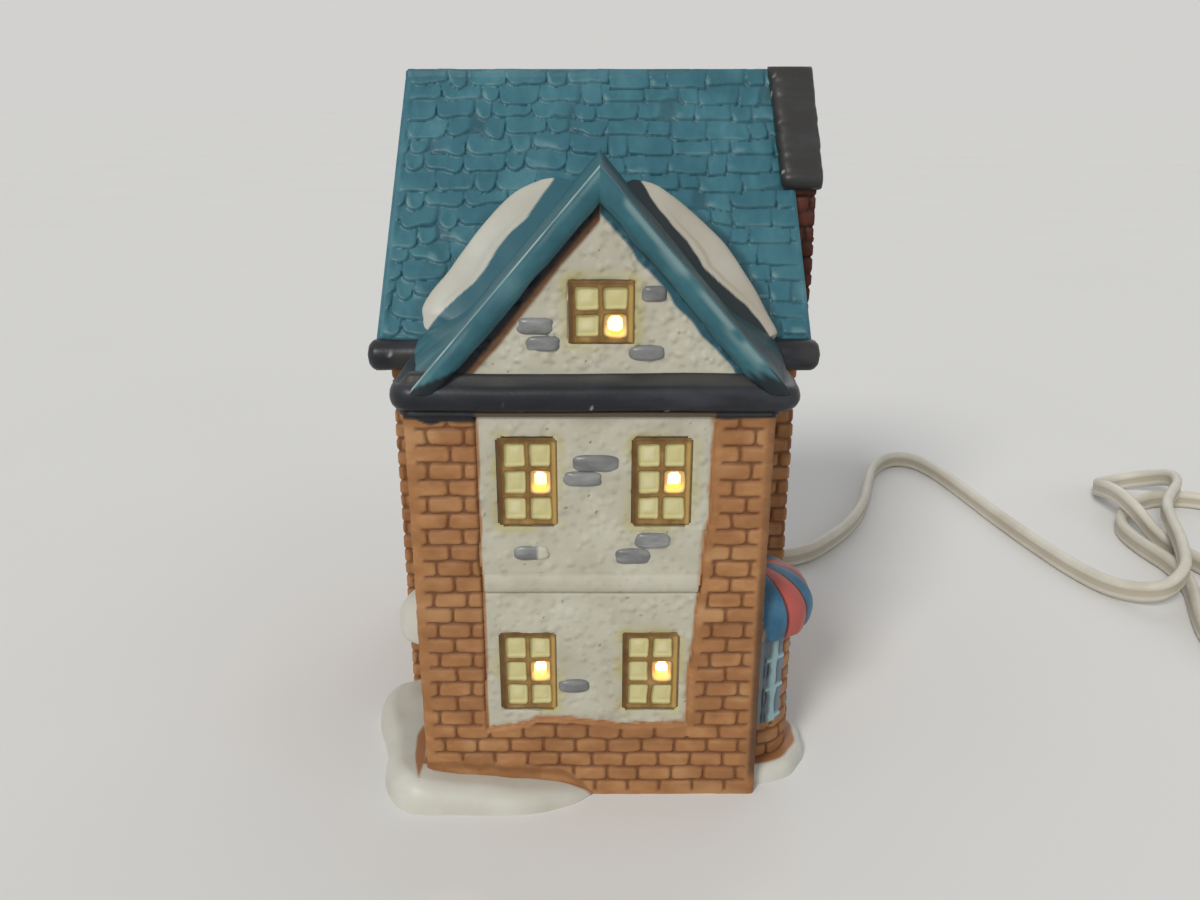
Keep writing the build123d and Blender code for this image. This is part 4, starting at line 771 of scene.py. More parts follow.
share, run = grid(-1, 1, 300, -slope_long, slope_long, 421)
down, way, lie, roof_out = ridge_fold(run, slope_cos, slope_sin, 1)
half = ROOF_HALF - GABLE_DRAFT * (1 - down / slope_long)
roof_x = share * half
roof_z = RIDGE_Z - down * slope_sin
roof_base = np.stack([roof_x, RIDGE_Y + way * down * slope_cos, roof_z], -1)
rise, smudge_and_highlight, tone, face = slates(roof_x + 300 * (run > 0), down, 51)
to_end = half - np.abs(roof_x)
plain = smooth(np.where(roof_x < 0, 2.2, 1.3), np.where(roof_x < 0, 1.3, 0.6), to_end)
rise = rise * (1 - plain) + 0.5 * plain
rim = np.minimum(to_end, slope_long - down)
at_ridge = smooth(3.0, 0.0, down)
rise = rise * (1 - 0.8 * at_ridge) + 0.3 * at_ridge - 0.75
rise = rise - 0.5 * smooth(0.7, 0.0, rim) + 0.4 * smooth(2.0, 0.0, down)
snow_edge = np.where(
    roof_x < GABLE_X, np.interp(-roof_z, -SNOW_LEFT[:, 1], SNOW_LEFT[:, 0]),
    np.interp(-roof_z, -SNOW_RIGHT[:, 1], SNOW_RIGHT[:, 0]),
)
past_snow = np.abs(roof_x - GABLE_X) - snow_edge + 0.5 * lumps(roof_x, run, 4, 72)
shade = smooth(2.8, 0.4, past_snow) * smooth(118, 108, roof_z) * (run < 0)
rubbed = smooth(0.5, 0.1, rim) * smooth(0.0, 0.7, lumps(roof_x, run, 3, 71))
marks = {
    "groove": np.maximum((1 - face) * 0.55 * (1 - plain), shade * np.where(roof_x < 0, 0.35, 0.85)),
    "tone": np.clip(tone - 0.35, 0, 1) * 0.7,
    "wear_and_highlight": np.maximum(smudge_and_highlight * 0.62 * (1 - plain), 0.4 * rubbed),
}
middle_x = (roof_x[:-1, :-1] + roof_x[1:, 1:]) / 2
middle_z = (roof_z[:-1, :-1] + roof_z[1:, 1:]) / 2
under_wing = np.abs(middle_x - GABLE_X) < (WING_RIDGE_Z - middle_z) / WING_SLOPE - 5.0
under_wing &= run[:-1, :-1] < -1
sheet = folded_sheet(roof_base, roof_out, rise, ~under_wing, 2.3, marks)
clay("slate_roof", [sheet], slate_paint, ["main_roof"])

# %% [markdown]
# The wing's own small roof is not slated: it is brushed teal, with strokes running down the slope, and much
# darker on the right, partly darker paint and partly painted shade of the slope that faces away from the
# light. It is a sheet over the ridge as well. Its front edge is the bargeboard, a thick painted lip that
# stands out from the gable, with a pale worn crease on the left board and a pale stroke along the right one,
# whose foot is dark like the cornice. Under their lower edge the boards are painted dark, as painted shade.
# A section swept down each slope gives the two boards.

# %% Wing roof and bargeboards
wing_long = math.hypot(WING_ROOF_HALF, WING_RIDGE_Z - CORNICE_TOP)
wing_cos = WING_ROOF_HALF / wing_long
wing_sin = (WING_RIDGE_Z - CORNICE_TOP) / wing_long
teal_paint = paint(
    "teal_brushed", (38, 80, 92), (50, 97, 107), (72, 116, 122),
    layers=[
        ("dark", (26, 36, 40)), ("groove", (22, 32, 38)), ("brown", (66, 46, 34)),
        ("wear_and_highlight", (170, 188, 182)),
    ],
    rough=0.45, size=130, stretch=(0.6, 2.2, 0.6), coat=0.05,
)

EAVE_DROP, FRONT_LIP = 1.6, 2.5
wing_reach = wing_long + EAVE_DROP
back, run = grid(WING_FRONT - FRONT_LIP, RIDGE_Y - 2, 150, wing_reach, -wing_reach, 249)
down, way, lie, small_out = ridge_fold(run, wing_cos, wing_sin, 0)
small_z = WING_RIDGE_Z - down * wing_sin
small_base = np.stack([GABLE_X + way * down * wing_cos, back, small_z], -1)
small_rise = -0.2 + 0.14 * lumps(back * 2.0, run, 9, 81) + 0.09 * lumps(back, run * 0.5, 3.0, 82)
apron = np.clip((back - WING_FRONT) / 29, 0, 1) * smooth(wing_long - 12, wing_reach, down)
small_rise += apron * np.where(way < 0, 4.2, 3.2)
bare = (back > EAVE_FRONT + 1) & (small_z < roof_top(back) - 2.0)
crease = smooth(0.5, 0.1, np.abs(back - WING_FRONT + 2.4)) * smooth(-0.5, 0.2, waver(down, 4, 83))
# The right slope is darker paint, and its darkness is partly painted shade of a slope turned from the light;
# it fades near the front lip.
dark_right_and_shade = 0.75 + 0.2 * lumps(back, down, 6, 84)
dark_right_and_shade = dark_right_and_shade * (0.25 + 0.75 * smooth(0.5, 4.5, back - WING_FRONT + FRONT_LIP))
marks = {
    "wear_and_highlight": crease * np.where(way < 0, 0.75, 0.1),
    "dark": np.where(way > 0, dark_right_and_shade, 0.06 + 0.08 * lumps(back, down, 5, 85)) * lie,
}
sheet = folded_sheet(small_base, small_out, small_rise, ~cells(bare), 2.0, marks)
clay("wing_roof_slopes", [sheet], teal_paint, ["wing_roof"])

BARGE = np.array([
    (0.0, 1.9), (0.02, 2.45), (0.12, 2.62), (0.4, 2.98), (0.9, 3.25), (1.6, 3.38), (2.4, 3.32), (3.1, 3.05),
    (3.7, 2.55), (4.05, 1.9), (4.15, 1.2), (4.0, 0.5), (3.9, -0.3),
])
BOARD_DEEP = BARGE[:, 0].max()


def bargeboard(way, seed):
    """A board from the apex to the cornice; its section is (depth below the slope, reach to the front)."""
    share, index = np.meshgrid(np.linspace(0, 1, 150), np.arange(len(BARGE)))
    free = smooth(0.0, 0.08, share)
    below = BARGE[index, 0] * (1 + 0.06 * free * waver(share * 50, 5, seed) * (index > 5))
    reach = BARGE[index, 1] + 0.14 * free * lumps(share * 50, index * 1.0, 5, seed + 1) * (index > 2)
    top = below * wing_sin / wing_cos
    foot = (WING_RIDGE_Z - CORNICE_TOP + 0.6 - below * wing_cos) / wing_sin
    down = top + share * (foot - top)
    x = GABLE_X + way * (down * wing_cos - below * wing_sin)
    z = WING_RIDGE_Z - down * wing_sin - below * wing_cos
    broken = smooth(-0.45, 0.25, waver(share * 50, 4, seed + 2))
    streaks = smooth(-0.3, 0.6, lumps(share * 18, index * 0.8, 2.2, seed + 3))
    if way < 0:
        wear_and_highlight = np.where(index == 2, 0.55 + 0.4 * broken, 0.0)
        wear_and_highlight = wear_and_highlight + np.where((index > 3) & (index < 7), 0.14 * streaks, 0)
        dark = smooth(-0.012, 0.012, share - 0.985 + 0.017 * np.clip(index - 2, 0, 8)) * (index > 2)
    else:
        wear_and_highlight = np.where((index == 3) | (index == 4), 0.34 * broken, 0.0)
        wear_and_highlight = wear_and_highlight + np.where(index == 5, 0.2 * streaks, 0)
        dark = smooth(0.87, 0.93, share + 0.035 * lumps(index * 1.3, share * 9, 1.0, seed + 4))
    marks = {
        "wear_and_highlight": wear_and_highlight * (1 - dark),
        # The rows that turn under each board's lower edge are painted dark: painted shade under the board.
        "groove": np.where(index >= 10, 0.8, 0.0),
        "brown": np.where(index == 9, 0.4 * broken, 0.0),
        "dark": dark,
    }
    return grid_sheet(np.stack([x, WING_FRONT - reach, z], -1), marks, flip=way > 0)


for name, way, seed in (("bargeboard_left", -1, 91), ("bargeboard_right", 1, 95)):
    clay(name + "_lip", [bargeboard(way, seed)], teal_paint, [name])

# %% [markdown]
# The gable between the boards is stucco like the panels below. It is a triangle of the same kind of sheet,
# with one small window, and pits that catch the light. Along the boards the brush strayed onto it: brown on
# the left, teal on the right. Under the left board runs a dark band, partly dark paint and partly painted
# shadow of the board.

# %% Gable stucco
GABLE_WINDOW, GABLE_WINDOW_SIZE = (1.45, 100.4), (11.5, 11.1)
gable_x, gable_z = grid(-31, 33.5, 220, 87.2, 123, 130)
gable_base = np.stack([gable_x, np.full(gable_x.shape, WING_FRONT), gable_z], -1)
gable_away = from_windows(gable_x, gable_z, [GABLE_WINDOW], GABLE_WINDOW_SIZE)
calm = smooth(89.4, 90.6, gable_z)
pits = dents(gable_x, gable_z, 1.8, 0.6, 101, 0.65) * calm
swell = 0.09 * lumps(gable_x, gable_z, 2.3, 102) + 0.12 * lumps(gable_x, gable_z, 5.3, 103)
gable_rise = 0.46 + (swell + 0.3 * dents(gable_x, gable_z, 2.2, 0.8, 104, 0.6)) * calm - 0.23 * pits
gable_rise -= 0.2 * smooth(0.7, 0.0, gable_away)
roof_half = (WING_RIDGE_Z - gable_z) / WING_SLOPE
from_middle = np.abs(gable_x - GABLE_X)
to_board = roof_half - from_middle - BOARD_DEEP / wing_sin
left_half = gable_x < GABLE_X
# Painted shadow: the dark band under the left board, partly dark paint, widens towards the foot.
board_shadow_wide = 1.3 + 0.8 * smooth(114, 92, gable_z)
brown_wide = board_shadow_wide + 1.4 + 0.3 * lumps(gable_x, gable_z, 6, 106)
teal_wide = 1.7 + 0.5 * waver(gable_z, 2.6, 107)
marks = {
    "groove": 0.18 * pits,
    "haze": smooth(2.6, 0.2, gable_away) * smooth(-0.7, 0.7, lumps(gable_x, gable_z, 4.2, 105)) * 0.6,
    "umber": smooth(brown_wide + 0.5, brown_wide - 0.5, to_board) * left_half,
    "edge": smooth(board_shadow_wide + 0.6, board_shadow_wide - 0.6, to_board) * left_half,
    "teal": smooth(teal_wide + 0.2, teal_wide - 0.2, to_board) * ~left_half,
    "speck": dents(gable_x, gable_z, 6.0, 0.23, 108, 0.35) * 0.9,
}
keep = cells(from_middle < roof_half - 2.0) & ~cells(gable_away < 0)
sheet = folded_sheet(gable_base, np.array([0, -1.0, 0]), gable_rise, keep, 1.2, marks)
clay("gable_stucco", [sheet], stucco_glaze)

# %% [markdown]
# The windows are sunk a little into the stucco: a golden brown frame and bars over pale yellow panes that
# swell like small pillows. Light and shade are painted on them: the frame darker on its left and top and
# paler on its right edge, and each pane paler on its swelling. One pane in each is cut right through, and
# there the lamp shines out; round the hole the clay is painted orange and given its own glow, as painted
# lamplight. A fine sheet for each window has all of it in one height field.

# %% Windows
FRAME_WIDE, BAR_WIDE = 1.15, 0.75
HOLE_WIDE, HOLE_HIGH = 0.28, 0.35
# The pale gold layer and the pale yellow shine are painted highlights; the orange layer and the glow are
# painted lamplight.
window_paint = paint(
    "window_paint", (112, 82, 40), (138, 106, 56), (162, 132, 78),
    layers=[
        ("frame_highlight", (182, 148, 82)), ("pane", (194, 186, 134)), ("shine", (212, 206, 168)),
        ("groove", (74, 47, 20)), ("lamplit_rim", (206, 112, 10)),
    ],
    rough=0.42, size=300, bump=0.08, coat=0.1, glow=("glow", (1.0, 0.42, 0.07, 1.0), 1.7),
)


def window_sheet(centre, across, out, size, rows, seed):
    """A window whose middle is at centre; across is its way to the right seen from outside."""
    width, height = size
    a, b = grid(-width / 2, width / 2, 66, -height / 2, height / 2, int(height * 6))
    wa = a + 0.14 * lumps(a + seed, b, 3.1, seed)
    wb = b + 0.14 * lumps(a, b + seed, 3.1, seed + 1)
    pane_w = (width - 2 * FRAME_WIDE - BAR_WIDE) / 2
    pane_h = (height - 2 * FRAME_WIDE - (rows - 1) * BAR_WIDE) / rows
    step_x, step_z = pane_w + BAR_WIDE, pane_h + BAR_WIDE
    low = (rows - 1) / 2
    inside = np.full(a.shape, -9.0)
    pillow = np.zeros(a.shape)
    for column in range(2):
        for row in range(rows):
            x = wa - (column - 0.5) * step_x
            z = wb - (row - low) * step_z
            into = -rounded_box(x, z, pane_w / 2 + 0.1, pane_h / 2 + 0.1, 0.7)
            inside = np.maximum(inside, into)
            pillow = np.maximum(pillow, smooth(0.2, 1.9, into))
    hole_z = (rows - 2 - low) * step_z
    hole = rounded_box(wa - 0.5 * step_x, wb - hole_z, HOLE_WIDE * pane_w, HOLE_HIGH * pane_h, 0.5)
    to_edge = np.minimum(width / 2 - np.abs(a), height / 2 - np.abs(b))
    rise = 0.62 - 0.8 * smooth(0.0, 0.7, inside) + 0.22 * pillow + 0.07 * lumps(a, b, 1.5, seed + 2)
    rise -= 0.12 * smooth(0.45, 0.0, to_edge)
    below = smooth(0.1, -1.0, (wb - hole_z) / (HOLE_HIGH * pane_h))
    on_frame = smooth(0.3, 0.05, inside)
    # Painted light: shade on the frame's left and top, a highlight on its right edge and a pale highlight on
    # each pane's swelling.
    shaded = np.maximum(smooth(1.5, 0.6, a + width / 2) * 0.75, smooth(1.3, 0.5, height / 2 - b) * 0.6)
    edges = [
        smooth(0.36, 0.05, to_edge) * 0.75, shaded * on_frame,
        smooth(0.22, 0.03, np.abs(inside - 0.06)) * 0.5,
    ]
    marks = {
        "pane": smooth(0.06, 0.36, inside),
        "shine": smooth(0.2, 0.9, pillow) * smooth(-0.3, 0.8, lumps(a, b, 2.4, seed + 3)) * 0.6,
        "groove": np.maximum.reduce(edges),
        "frame_highlight": smooth(1.3, 0.6, width / 2 - a) * on_frame * 0.8,
        # Painted lamplight: orange clay round the hole and an emission there, stronger below it; the clay is
        # no lamp.
        "lamplit_rim": smooth(0.45, 0.05, hole) * 0.9,
        "glow": smooth(0.9, 0.0, hole) * (0.2 + 0.8 * below),
    }
    base = np.asarray(centre) + a[..., None] * np.asarray(across) + b[..., None] * np.array([0, 0, 1.0])
    return folded_sheet(base, np.asarray(out, float), rise, ~cells(hole < 0), 2.4, marks)


FRONT = ((1, 0, 0), (0, -1, 0))
FRONT_NAMES = ("window_upper_left", "window_upper_right", "window_lower_left", "window_lower_right")
for name, (x, z), seed in zip(FRONT_NAMES, FRONT_WINDOWS, (3, 5, 7, 9)):
    sheet = window_sheet((x, WING_FRONT, z), *FRONT, WINDOW_SIZE, 3, seed)
    clay(name + "_sash", [sheet], window_paint, [name])
sheet = window_sheet((GABLE_WINDOW[0], WING_FRONT, GABLE_WINDOW[1]), *FRONT, GABLE_WINDOW_SIZE, 2, 11)
clay("window_gable_sash", [sheet], window_paint, ["window_gable"])
for name, way in (("windows_left_side", -1), ("windows_right_side", 1)):
    faces = ((0, way, 0), (way, 0, 0))
    sheets = [window_sheet((way * MAIN_HALF, y, z), *faces, WINDOW_SIZE, 3, 13 + z) for y, z in SIDE_WINDOWS]
    clay(name + "_sashes", sheets, window_paint, [name])
REAR = ((-1, 0, 0), (0, 1, 0))
sheets = [window_sheet((x, MAIN_BACK, z), *REAR, WINDOW_SIZE, 3, 19 + x) for x, z in REAR_WINDOWS]
clay("windows_rear_sashes", sheets, window_paint, ["windows_rear"])

# %% [markdown]
# Here and there the stucco is painted as if it had fallen off a stone: small grey pebbles, glossy and
# rounded. Each is a dome over a rounded outline, a little uneven, lying on the face of its wall. One has a
# pale end, where stucco still covers it.

# %% Bare stones
PALE_STONE = 2
stone_paint = paint(
    "stone_grey", (100, 101, 101), (121, 122, 121), (147, 148, 145),
    layers=[("pale", (190, 186, 169)), ("groove", (80, 76, 68))], rough=0.34, size=260, stretch=(0.5, 1, 1.4),
    coat=0.2,
)
STONES = [
    (0.45, 72.45, 9.1, 3.5, 0.9), (-1.95, 69.4, 7.5, 3.2, 0.9), (-11.75, 54.5, 7.1, 3.2, 0.9),
    (11.15, 57.0, 7.0, 3.5, 0.9), (7.45, 53.8, 7.1, 3.5, 0.9), (-3.95, 25.4, 6.4, 3.2, 0.9),
    (-10.15, 97.9, 6.7, 3.4, 0.55), (-8.85, 94.8, 6.3, 3.1, 0.55), (10.65, 103.6, 4.6, 3.1, 0.55),
    (9.55, 93.1, 6.7, 3.0, 0.55),
]


def squircle(turn, power):
    """Reach of a square with very round corners, at each angle."""
    return (np.abs(np.cos(turn)) ** power + np.abs(np.sin(turn)) ** power) ** (-1 / power)


pebbles = []
turn, reach = np.meshgrid(around(56), np.linspace(1, 0.02, 14))
cos, sin = np.cos(turn), np.sin(turn)
dome = (1 - reach ** 3.2) ** 0.55
for number, (x, z, width, height, proud) in enumerate(STONES):
    outline = squircle(turn, 3.4) * (1 + 0.05 * lumps(2 * cos, 2 * sin, 1.1, 111 + number))
    local_x = width / 2 * outline * reach * cos
    local_z = height / 2 * outline * reach * sin
    up = proud - 0.5 + 1.15 * dome + 0.08 * lumps(local_x, local_z, 1.6, 121 + number) * dome
    points = np.stack([x + local_x, WING_FRONT - up, z + local_z], -1)
    pale = smooth(0.9, 1.6, local_x) * (number == PALE_STONE)
    pebbles.append(grid_sheet(points, {"pale": pale, "groove": smooth(0.88, 1.0, reach) * 0.7}, closed=True))
clay("bare_stone_pebbles", pebbles, stone_paint, ["bare_stones"])

# %% [markdown]
# Under the gable runs a heavy dark cornice, and the eaves of the main roof end in thick gutters. On the
# casting both are soft rolls. A cross-section swept along the wall line makes the cornice; the gutters get
# the same, with their free ends closed like the end of a sausage.

# %% Cornice and gutters
trim_paint = paint(
    "charcoal_trim", (24, 26, 31), (33, 35, 40), (50, 53, 58),
    layers=[("dust", (68, 65, 60)), ("brown", (92, 75, 52)), ("wear_and_highlight", (176, 176, 170))],
    rough=0.4, size=140, stretch=(0.5, 0.5, 1.6), coat=0.08,
)
CORNICE = np.array([
    (0.2, 81.5), (1.2, 81.5), (1.72, 81.75), (1.75, 82.2), (1.55, 82.55), (1.9, 82.75), (2.5, 83.0),
    (2.95, 83.55), (3.2, 84.4), (3.22, 85.3), (3.05, 86.2), (2.7, 86.9), (2.3, 87.3), (1.8, 87.75),
    (1.35, 88.3), (1.0, 88.9), (0.72, 89.3), (0.2, 89.5), (-0.5, 89.6),
])
FILLET_ROWS, WASH_ROW, CORNICE_END = 4, 13, -18.2
rim_walk, rim_ways, rim_run = wall_walk(
    [(WING_LEFT, CORNICE_END), (WING_LEFT, WING_FRONT), (WING_RIGHT, WING_FRONT), (WING_RIGHT, CORNICE_END)],
    1.6, 0.4,
)
place_i, row_i = np.meshgrid(np.arange(len(rim_walk)), np.arange(len(CORNICE)))
run = rim_run[place_i]
wash = row_i >= WASH_ROW
rolled = (row_i > FILLET_ROWS) & ~wash
right_side = smooth(0.1, 0.9, rim_ways[place_i, 0])
facing = smooth(0.4, 0.9, -rim_ways[place_i, 1])
reach = CORNICE[row_i, 0] * (1 + 0.58 * right_side * rolled) + 0.16 * lumps(run, row_i * 0.5, 9, 131) * rolled
reach -= 1.8 * (1 - facing) * (row_i == len(CORNICE) - 1)
lift = np.where(wash, -(CORNICE[row_i, 1] - CORNICE[WASH_ROW - 1, 1]) * 0.9 * (1 - facing), 0.0)
height = CORNICE[row_i, 1] + 0.14 * lumps(run, row_i * 0.4, 11, 132) * (row_i > FILLET_ROWS) + lift
rim_x = rim_walk[place_i, 0] + rim_ways[place_i, 0] * reach
points = np.stack([rim_x, rim_walk[place_i, 1] + rim_ways[place_i, 1] * reach, height], -1)
over_stucco = smooth(-21.8, -20.8, rim_x) * smooth(22.6, 21.6, rim_x)
marks = {
    "wear_and_highlight": smooth(0.4, 0.8, dents(run, row_i * 0.55, 5.0, 0.55, 133, 0.35)) * rolled * 0.85,
    "brown": smooth(0.4, 0.9, over_stucco) * ((row_i == 2) | (row_i == 3)) * 0.8,
    "dust": wash * (0.55 + 0.35 * lumps(run * 0.4, row_i * 1.0, 2.5, 134)) * facing,
}
clay("wing_cornice_roll", [grid_sheet(points, marks)], trim_paint, ["wing_cornice"])

GUTTER_END, GUTTER_ROUND, GUTTER_OUT = 46.9, 2.2, 3.2


def gutter_sheet(x_low, x_high, face_y, way, seed, free_ends):
    """A rounded roll along an eave, closed at the ends that stand free."""
    x, turn = grid(x_low, x_high, max(24, int((x_high - x_low) / 0.6)), -1.75, 1.75, 17)
    girth = np.ones(x.shape)
    for free, inward in zip(free_ends, (x - x_low, x_high - x)):
        if free:
            girth = np.minimum(girth, quarter_round(1 - inward / GUTTER_ROUND))
    girth = girth * (0.96 + 0.05 * lumps(x, turn, 5, seed))
    y = face_y + way * np.cos(turn) * GUTTER_OUT * girth
    z = EAVE_Z - ROOF_FALL / 2 + np.sin(turn) * (ROOF_FALL / 2) * girth
    marks = {
        "wear_and_highlight": smooth(0.4, 0.8, dents(x, turn * 2, 5.0, 0.6, seed + 1, 0.3)) * 0.7,
        "dust": smooth(0.1, 0.8, lumps(x * 0.4, turn * 2, 2, seed + 2)) * 0.4,
    }
    return grid_sheet(np.stack([x, y, z], -1)[::-way], marks)


for name, x_low, x_high, face_y, way, free_ends in (
    ("gutter_front_left", -GUTTER_END, WING_LEFT + 0.4, EAVE_FRONT, -1, (True, False)),
    ("gutter_front_right", WING_RIGHT - 0.4, GUTTER_END, EAVE_FRONT, -1, (False, True)),
    ("gutter_rear", -GUTTER_END, GUTTER_END, EAVE_BACK, 1, (True, True)),
):
    sheet = gutter_sheet(x_low, x_high, face_y, way, 141 + len(name), free_ends)
    clay(name + "_roll", [sheet], trim_paint, [name])

# %% [markdown]
# On the right a dark slab lies over the ridge: the chimney's hood. It is a soft saddle with white flakes
# along its inner edge, where it meets the slates, and under it a breast of red brick stands on the gable
# end. Its brick is mixed far darker than brick, as painted shade of an end that faces away from the light.
# A rounded ring carried over the ridge makes the slab, and it leans with the end of the roof.

# %% Chimney hood and breast
def box_of(node):
    """A node's two corners in millimetres."""
    return [Vector(corner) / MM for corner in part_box(node)]


hood_low, hood_high = box_of("chimney_hood")
breast_low, breast_high = box_of("chimney_breast")
hood_reach = RIDGE_Y - hood_low.y - 1.2
turn = around(64)
ring = squircle(turn, 4)
ring_x = ring * np.cos(turn)
ring_n = ring * np.sin(turn)
rows = []
worn = []
for share in np.linspace(-1, 1, 181):
    y = RIDGE_Y + share * hood_reach
    away = abs(share)
    level = smooth(0.0, 0.12, away)
    normal = np.array([math.copysign(slope_sin, share) * level, slope_cos + (1 - slope_cos) * (1 - level)])
    normal = normal / np.linalg.norm(normal)
    end = quarter_round((away - 0.92) / 0.08)
    run = np.full(len(turn), share * 72)
    inner = hood_low.x + 0.5 + 1.9 * away
    outer = hood_high.x - 0.3 - 1.3 * (1 - away)
    x = (inner + outer) / 2 + (outer - inner) / 2 * ring_x * (0.86 + 0.14 * end)
    x = x + 0.14 * lumps(run, turn * 2, 4, 151)
    n = 0.1 + 2.45 * ring_n * (0.3 + 0.7 * end) + 0.12 * lumps(run, turn * 2, 3, 152)
    top = np.minimum(roof_top(y) + n * normal[1], hood_high.z - 0.05)
    rows.append(np.stack([x, y + n * normal[0], top], -1))
    flake = dents(run, turn * 4, 6.0, 1.6, 153, 0.45)
    worn.append(smooth(-0.78, -0.96, ring_x) * smooth(-0.4, 0.1, ring_n) * smooth(0.25, 0.6, flake))
ends = [np.repeat(rows[at].mean(0)[None], len(turn), 0) for at in (0, -1)]
rows = np.array([ends[0], *rows, ends[1]])[:, ::-1]
worn = np.array([worn[0] * 0, *worn, worn[0] * 0])[:, ::-1]
hood_sheet = grid_sheet(rows, {"wear_and_highlight": worn * 0.85, "dust": 0.4}, closed=True)
clay("chimney_hood_slab", [hood_sheet], trim_paint, ["chimney_hood"])

BREAST_STEP_Z = 107
# The breast's shades are mixed far darker than its brick: painted shade.
shaded_red_brick_paint = paint(
    "shaded_red_brick_paint", (64, 30, 21), (82, 40, 29), (102, 54, 41),
    layers=[("tone", (58, 27, 19)), ("groove", (36, 18, 14))], rough=0.55, size=150,
)
finish("chimney_breast", shaded_red_brick_paint)
breast_walk, breast_ways, breast_run = wall_walk(
    [
        (MAIN_HALF - 3, breast_low.y), (breast_high.x, breast_low.y),
        (breast_high.x, breast_high.y), (MAIN_HALF - 3, breast_high.y),
    ],
    0.9, 0.45,
)
breast_base, breast_out = upright(breast_walk, breast_ways, np.linspace(breast_low.z, breast_high.z, 80))
breast_u = np.broadcast_to(breast_run, breast_base.shape[:2])
breast_z = breast_base[..., 2]
face, tone = bricks(breast_u, breast_z, 161)
slant = np.clip(breast_low.z + (breast_high.x - MAIN_HALF) - breast_z, 0, None)
step_in = (breast_z > BREAST_STEP_Z) + slant
breast_rise = -0.75 - step_in * (breast_out[..., 0] > 0.5) + 0.5 * face
breast_rise = breast_rise + 0.1 * lumps(breast_u, breast_z, 2.2, 162)
covered = breast_z > roof_top(breast_base[..., 1]) - 1.0
marks = {"groove": (1 - face) * 0.9, "tone": np.clip(tone - 0.3, 0, 1) * 0.8}
sheet = folded_sheet(breast_base, breast_out, breast_rise, ~cells(covered), 0.8, marks)
clay("chimney_breast_brickwork", [sheet], shaded_red_brick_paint, ["chimney_breast"])

# %% [markdown]
# Snow lies where it would: a drift round the left corner, a lip at the foot of the bow window and two
# crescents on the roof beside the gable. It is thick glossy white glaze, so each bank is a smooth rounded
# sheet that runs from its outer edge, with a full shoulder, up to the wall, and brown strokes cross its rim.

# %% Snow on the ground
snow_glaze = paint(
    "snow_glaze", (183, 181, 168), (190, 188, 176), (197, 196, 186),
    layers=[
        ("grime_and_shade", (146, 134, 114)), ("stray", (152, 104, 66)), ("teal", (48, 94, 106)),
        ("dark", (28, 38, 42)),
    ],
    rough=0.44, size=60, bump=0.05, grain=500, coat=0.06,
)


def curve_through(points, count):
    """A smooth run of places through the given ones, a cubic piece between each pair."""
    points = np.array(points, float)
    padded = np.concatenate([2 * points[:1] - points[1:2], points, 2 * points[-1:] - points[-2:-1]])
    spots = np.linspace(0, len(points) - 1, count)
    first = np.clip(np.floor(spots).astype(int), 0, len(points) - 2)
    t = (spots - first)[:, None]
    p0, p1, p2, p3 = (padded[first + k] for k in range(4))
    square = 2 * p0 - 5 * p1 + 4 * p2 - p3
    cube = 3 * p1 - p0 - 3 * p2 + p3
    return 0.5 * (2 * p1 + (p2 - p0) * t + square * t ** 2 + cube * t ** 3)


def bank(outer, inner, heights, shoulder, seed, across):
    """A bank of snow between its outer edge on the table and an inner line under the wall."""
    share = np.linspace(0, 1, across)[:, None]
    plan = outer[None] + (inner - outer)[None] * share[..., None]
    far = share * np.linalg.norm(inner - outer, axis=1)[None]
    z = heights * quarter_round(1 - far / shoulder)
    z = z + 0.35 * lumps(plan[..., 0], plan[..., 1], 7, seed) * smooth(1, 4, far)
    return np.concatenate([plan, z[..., None]], -1), far


DRIFT_OUTER = [
    (-9.5, 32.6), (-12.6, 31.0), (-15.2, 28.9), (-15.3, 22.5), (-11.2, 10.6), (-9.7, 0.6), (-4, -7.1),
    (8, -8.0), (20, -7.9), (29, -5.0), (34, -1.0),
]
DRIFT_INNER = [
    (1.5, 32.6), (1.5, 31.5), (1.5, 29), (1.5, 22), (1.5, 11), (1.5, 4), (1.5, 1.5), (8, 1.5), (20, 1.5),
    (29, 1.5), (34.5, 1.5),
]
corner = np.array([WING_LEFT, WING_FRONT])
along = np.linspace(0, 1, 180)
outer = curve_through(DRIFT_OUTER, len(along)) + corner
inner = curve_through(DRIFT_INNER, len(along)) + corner
heights = 6.2 - 2.2 * smooth(0.55, 0.8, along) - 2.4 * smooth(0.8, 1.0, along)
points, far = bank(outer, inner, heights, 4.2, 171, 40)
drift_x, drift_y = points[..., 0], points[..., 1]
wander = lumps(drift_x, drift_y, 3.5, 172)
in_front = np.where(drift_x > WING_LEFT + 0.8, WING_FRONT - 1.4 - drift_y, FAR_OFF)
band = 0.15 + 0.35 * smooth(-8, -2, drift_x) + 0.25 * wander
leaf_wide = 1.35 * smooth(-53.5, -42, drift_y) * smooth(-30.5, -36, drift_y) - 0.25
stroke = np.abs(drift_x + 36.7 + 0.11 * (drift_y + 38)) - leaf_wide
beside = np.where(drift_y > WING_FRONT, WING_LEFT - 0.8 - drift_x, FAR_OFF) - 0.5 - 0.4 * wander
marks = {
    "stray": np.maximum(smooth(0.25, -0.25, in_front - band), smooth(0.2, -0.2, np.minimum(stroke, beside))),
    "grime_and_shade": smooth(0.3, 0.9, lumps(drift_x, drift_y, 9, 173)) * 0.25,
}
clay("snow_drift", [grid_sheet(points, marks)], snow_glaze, ["snow_drift_left"])

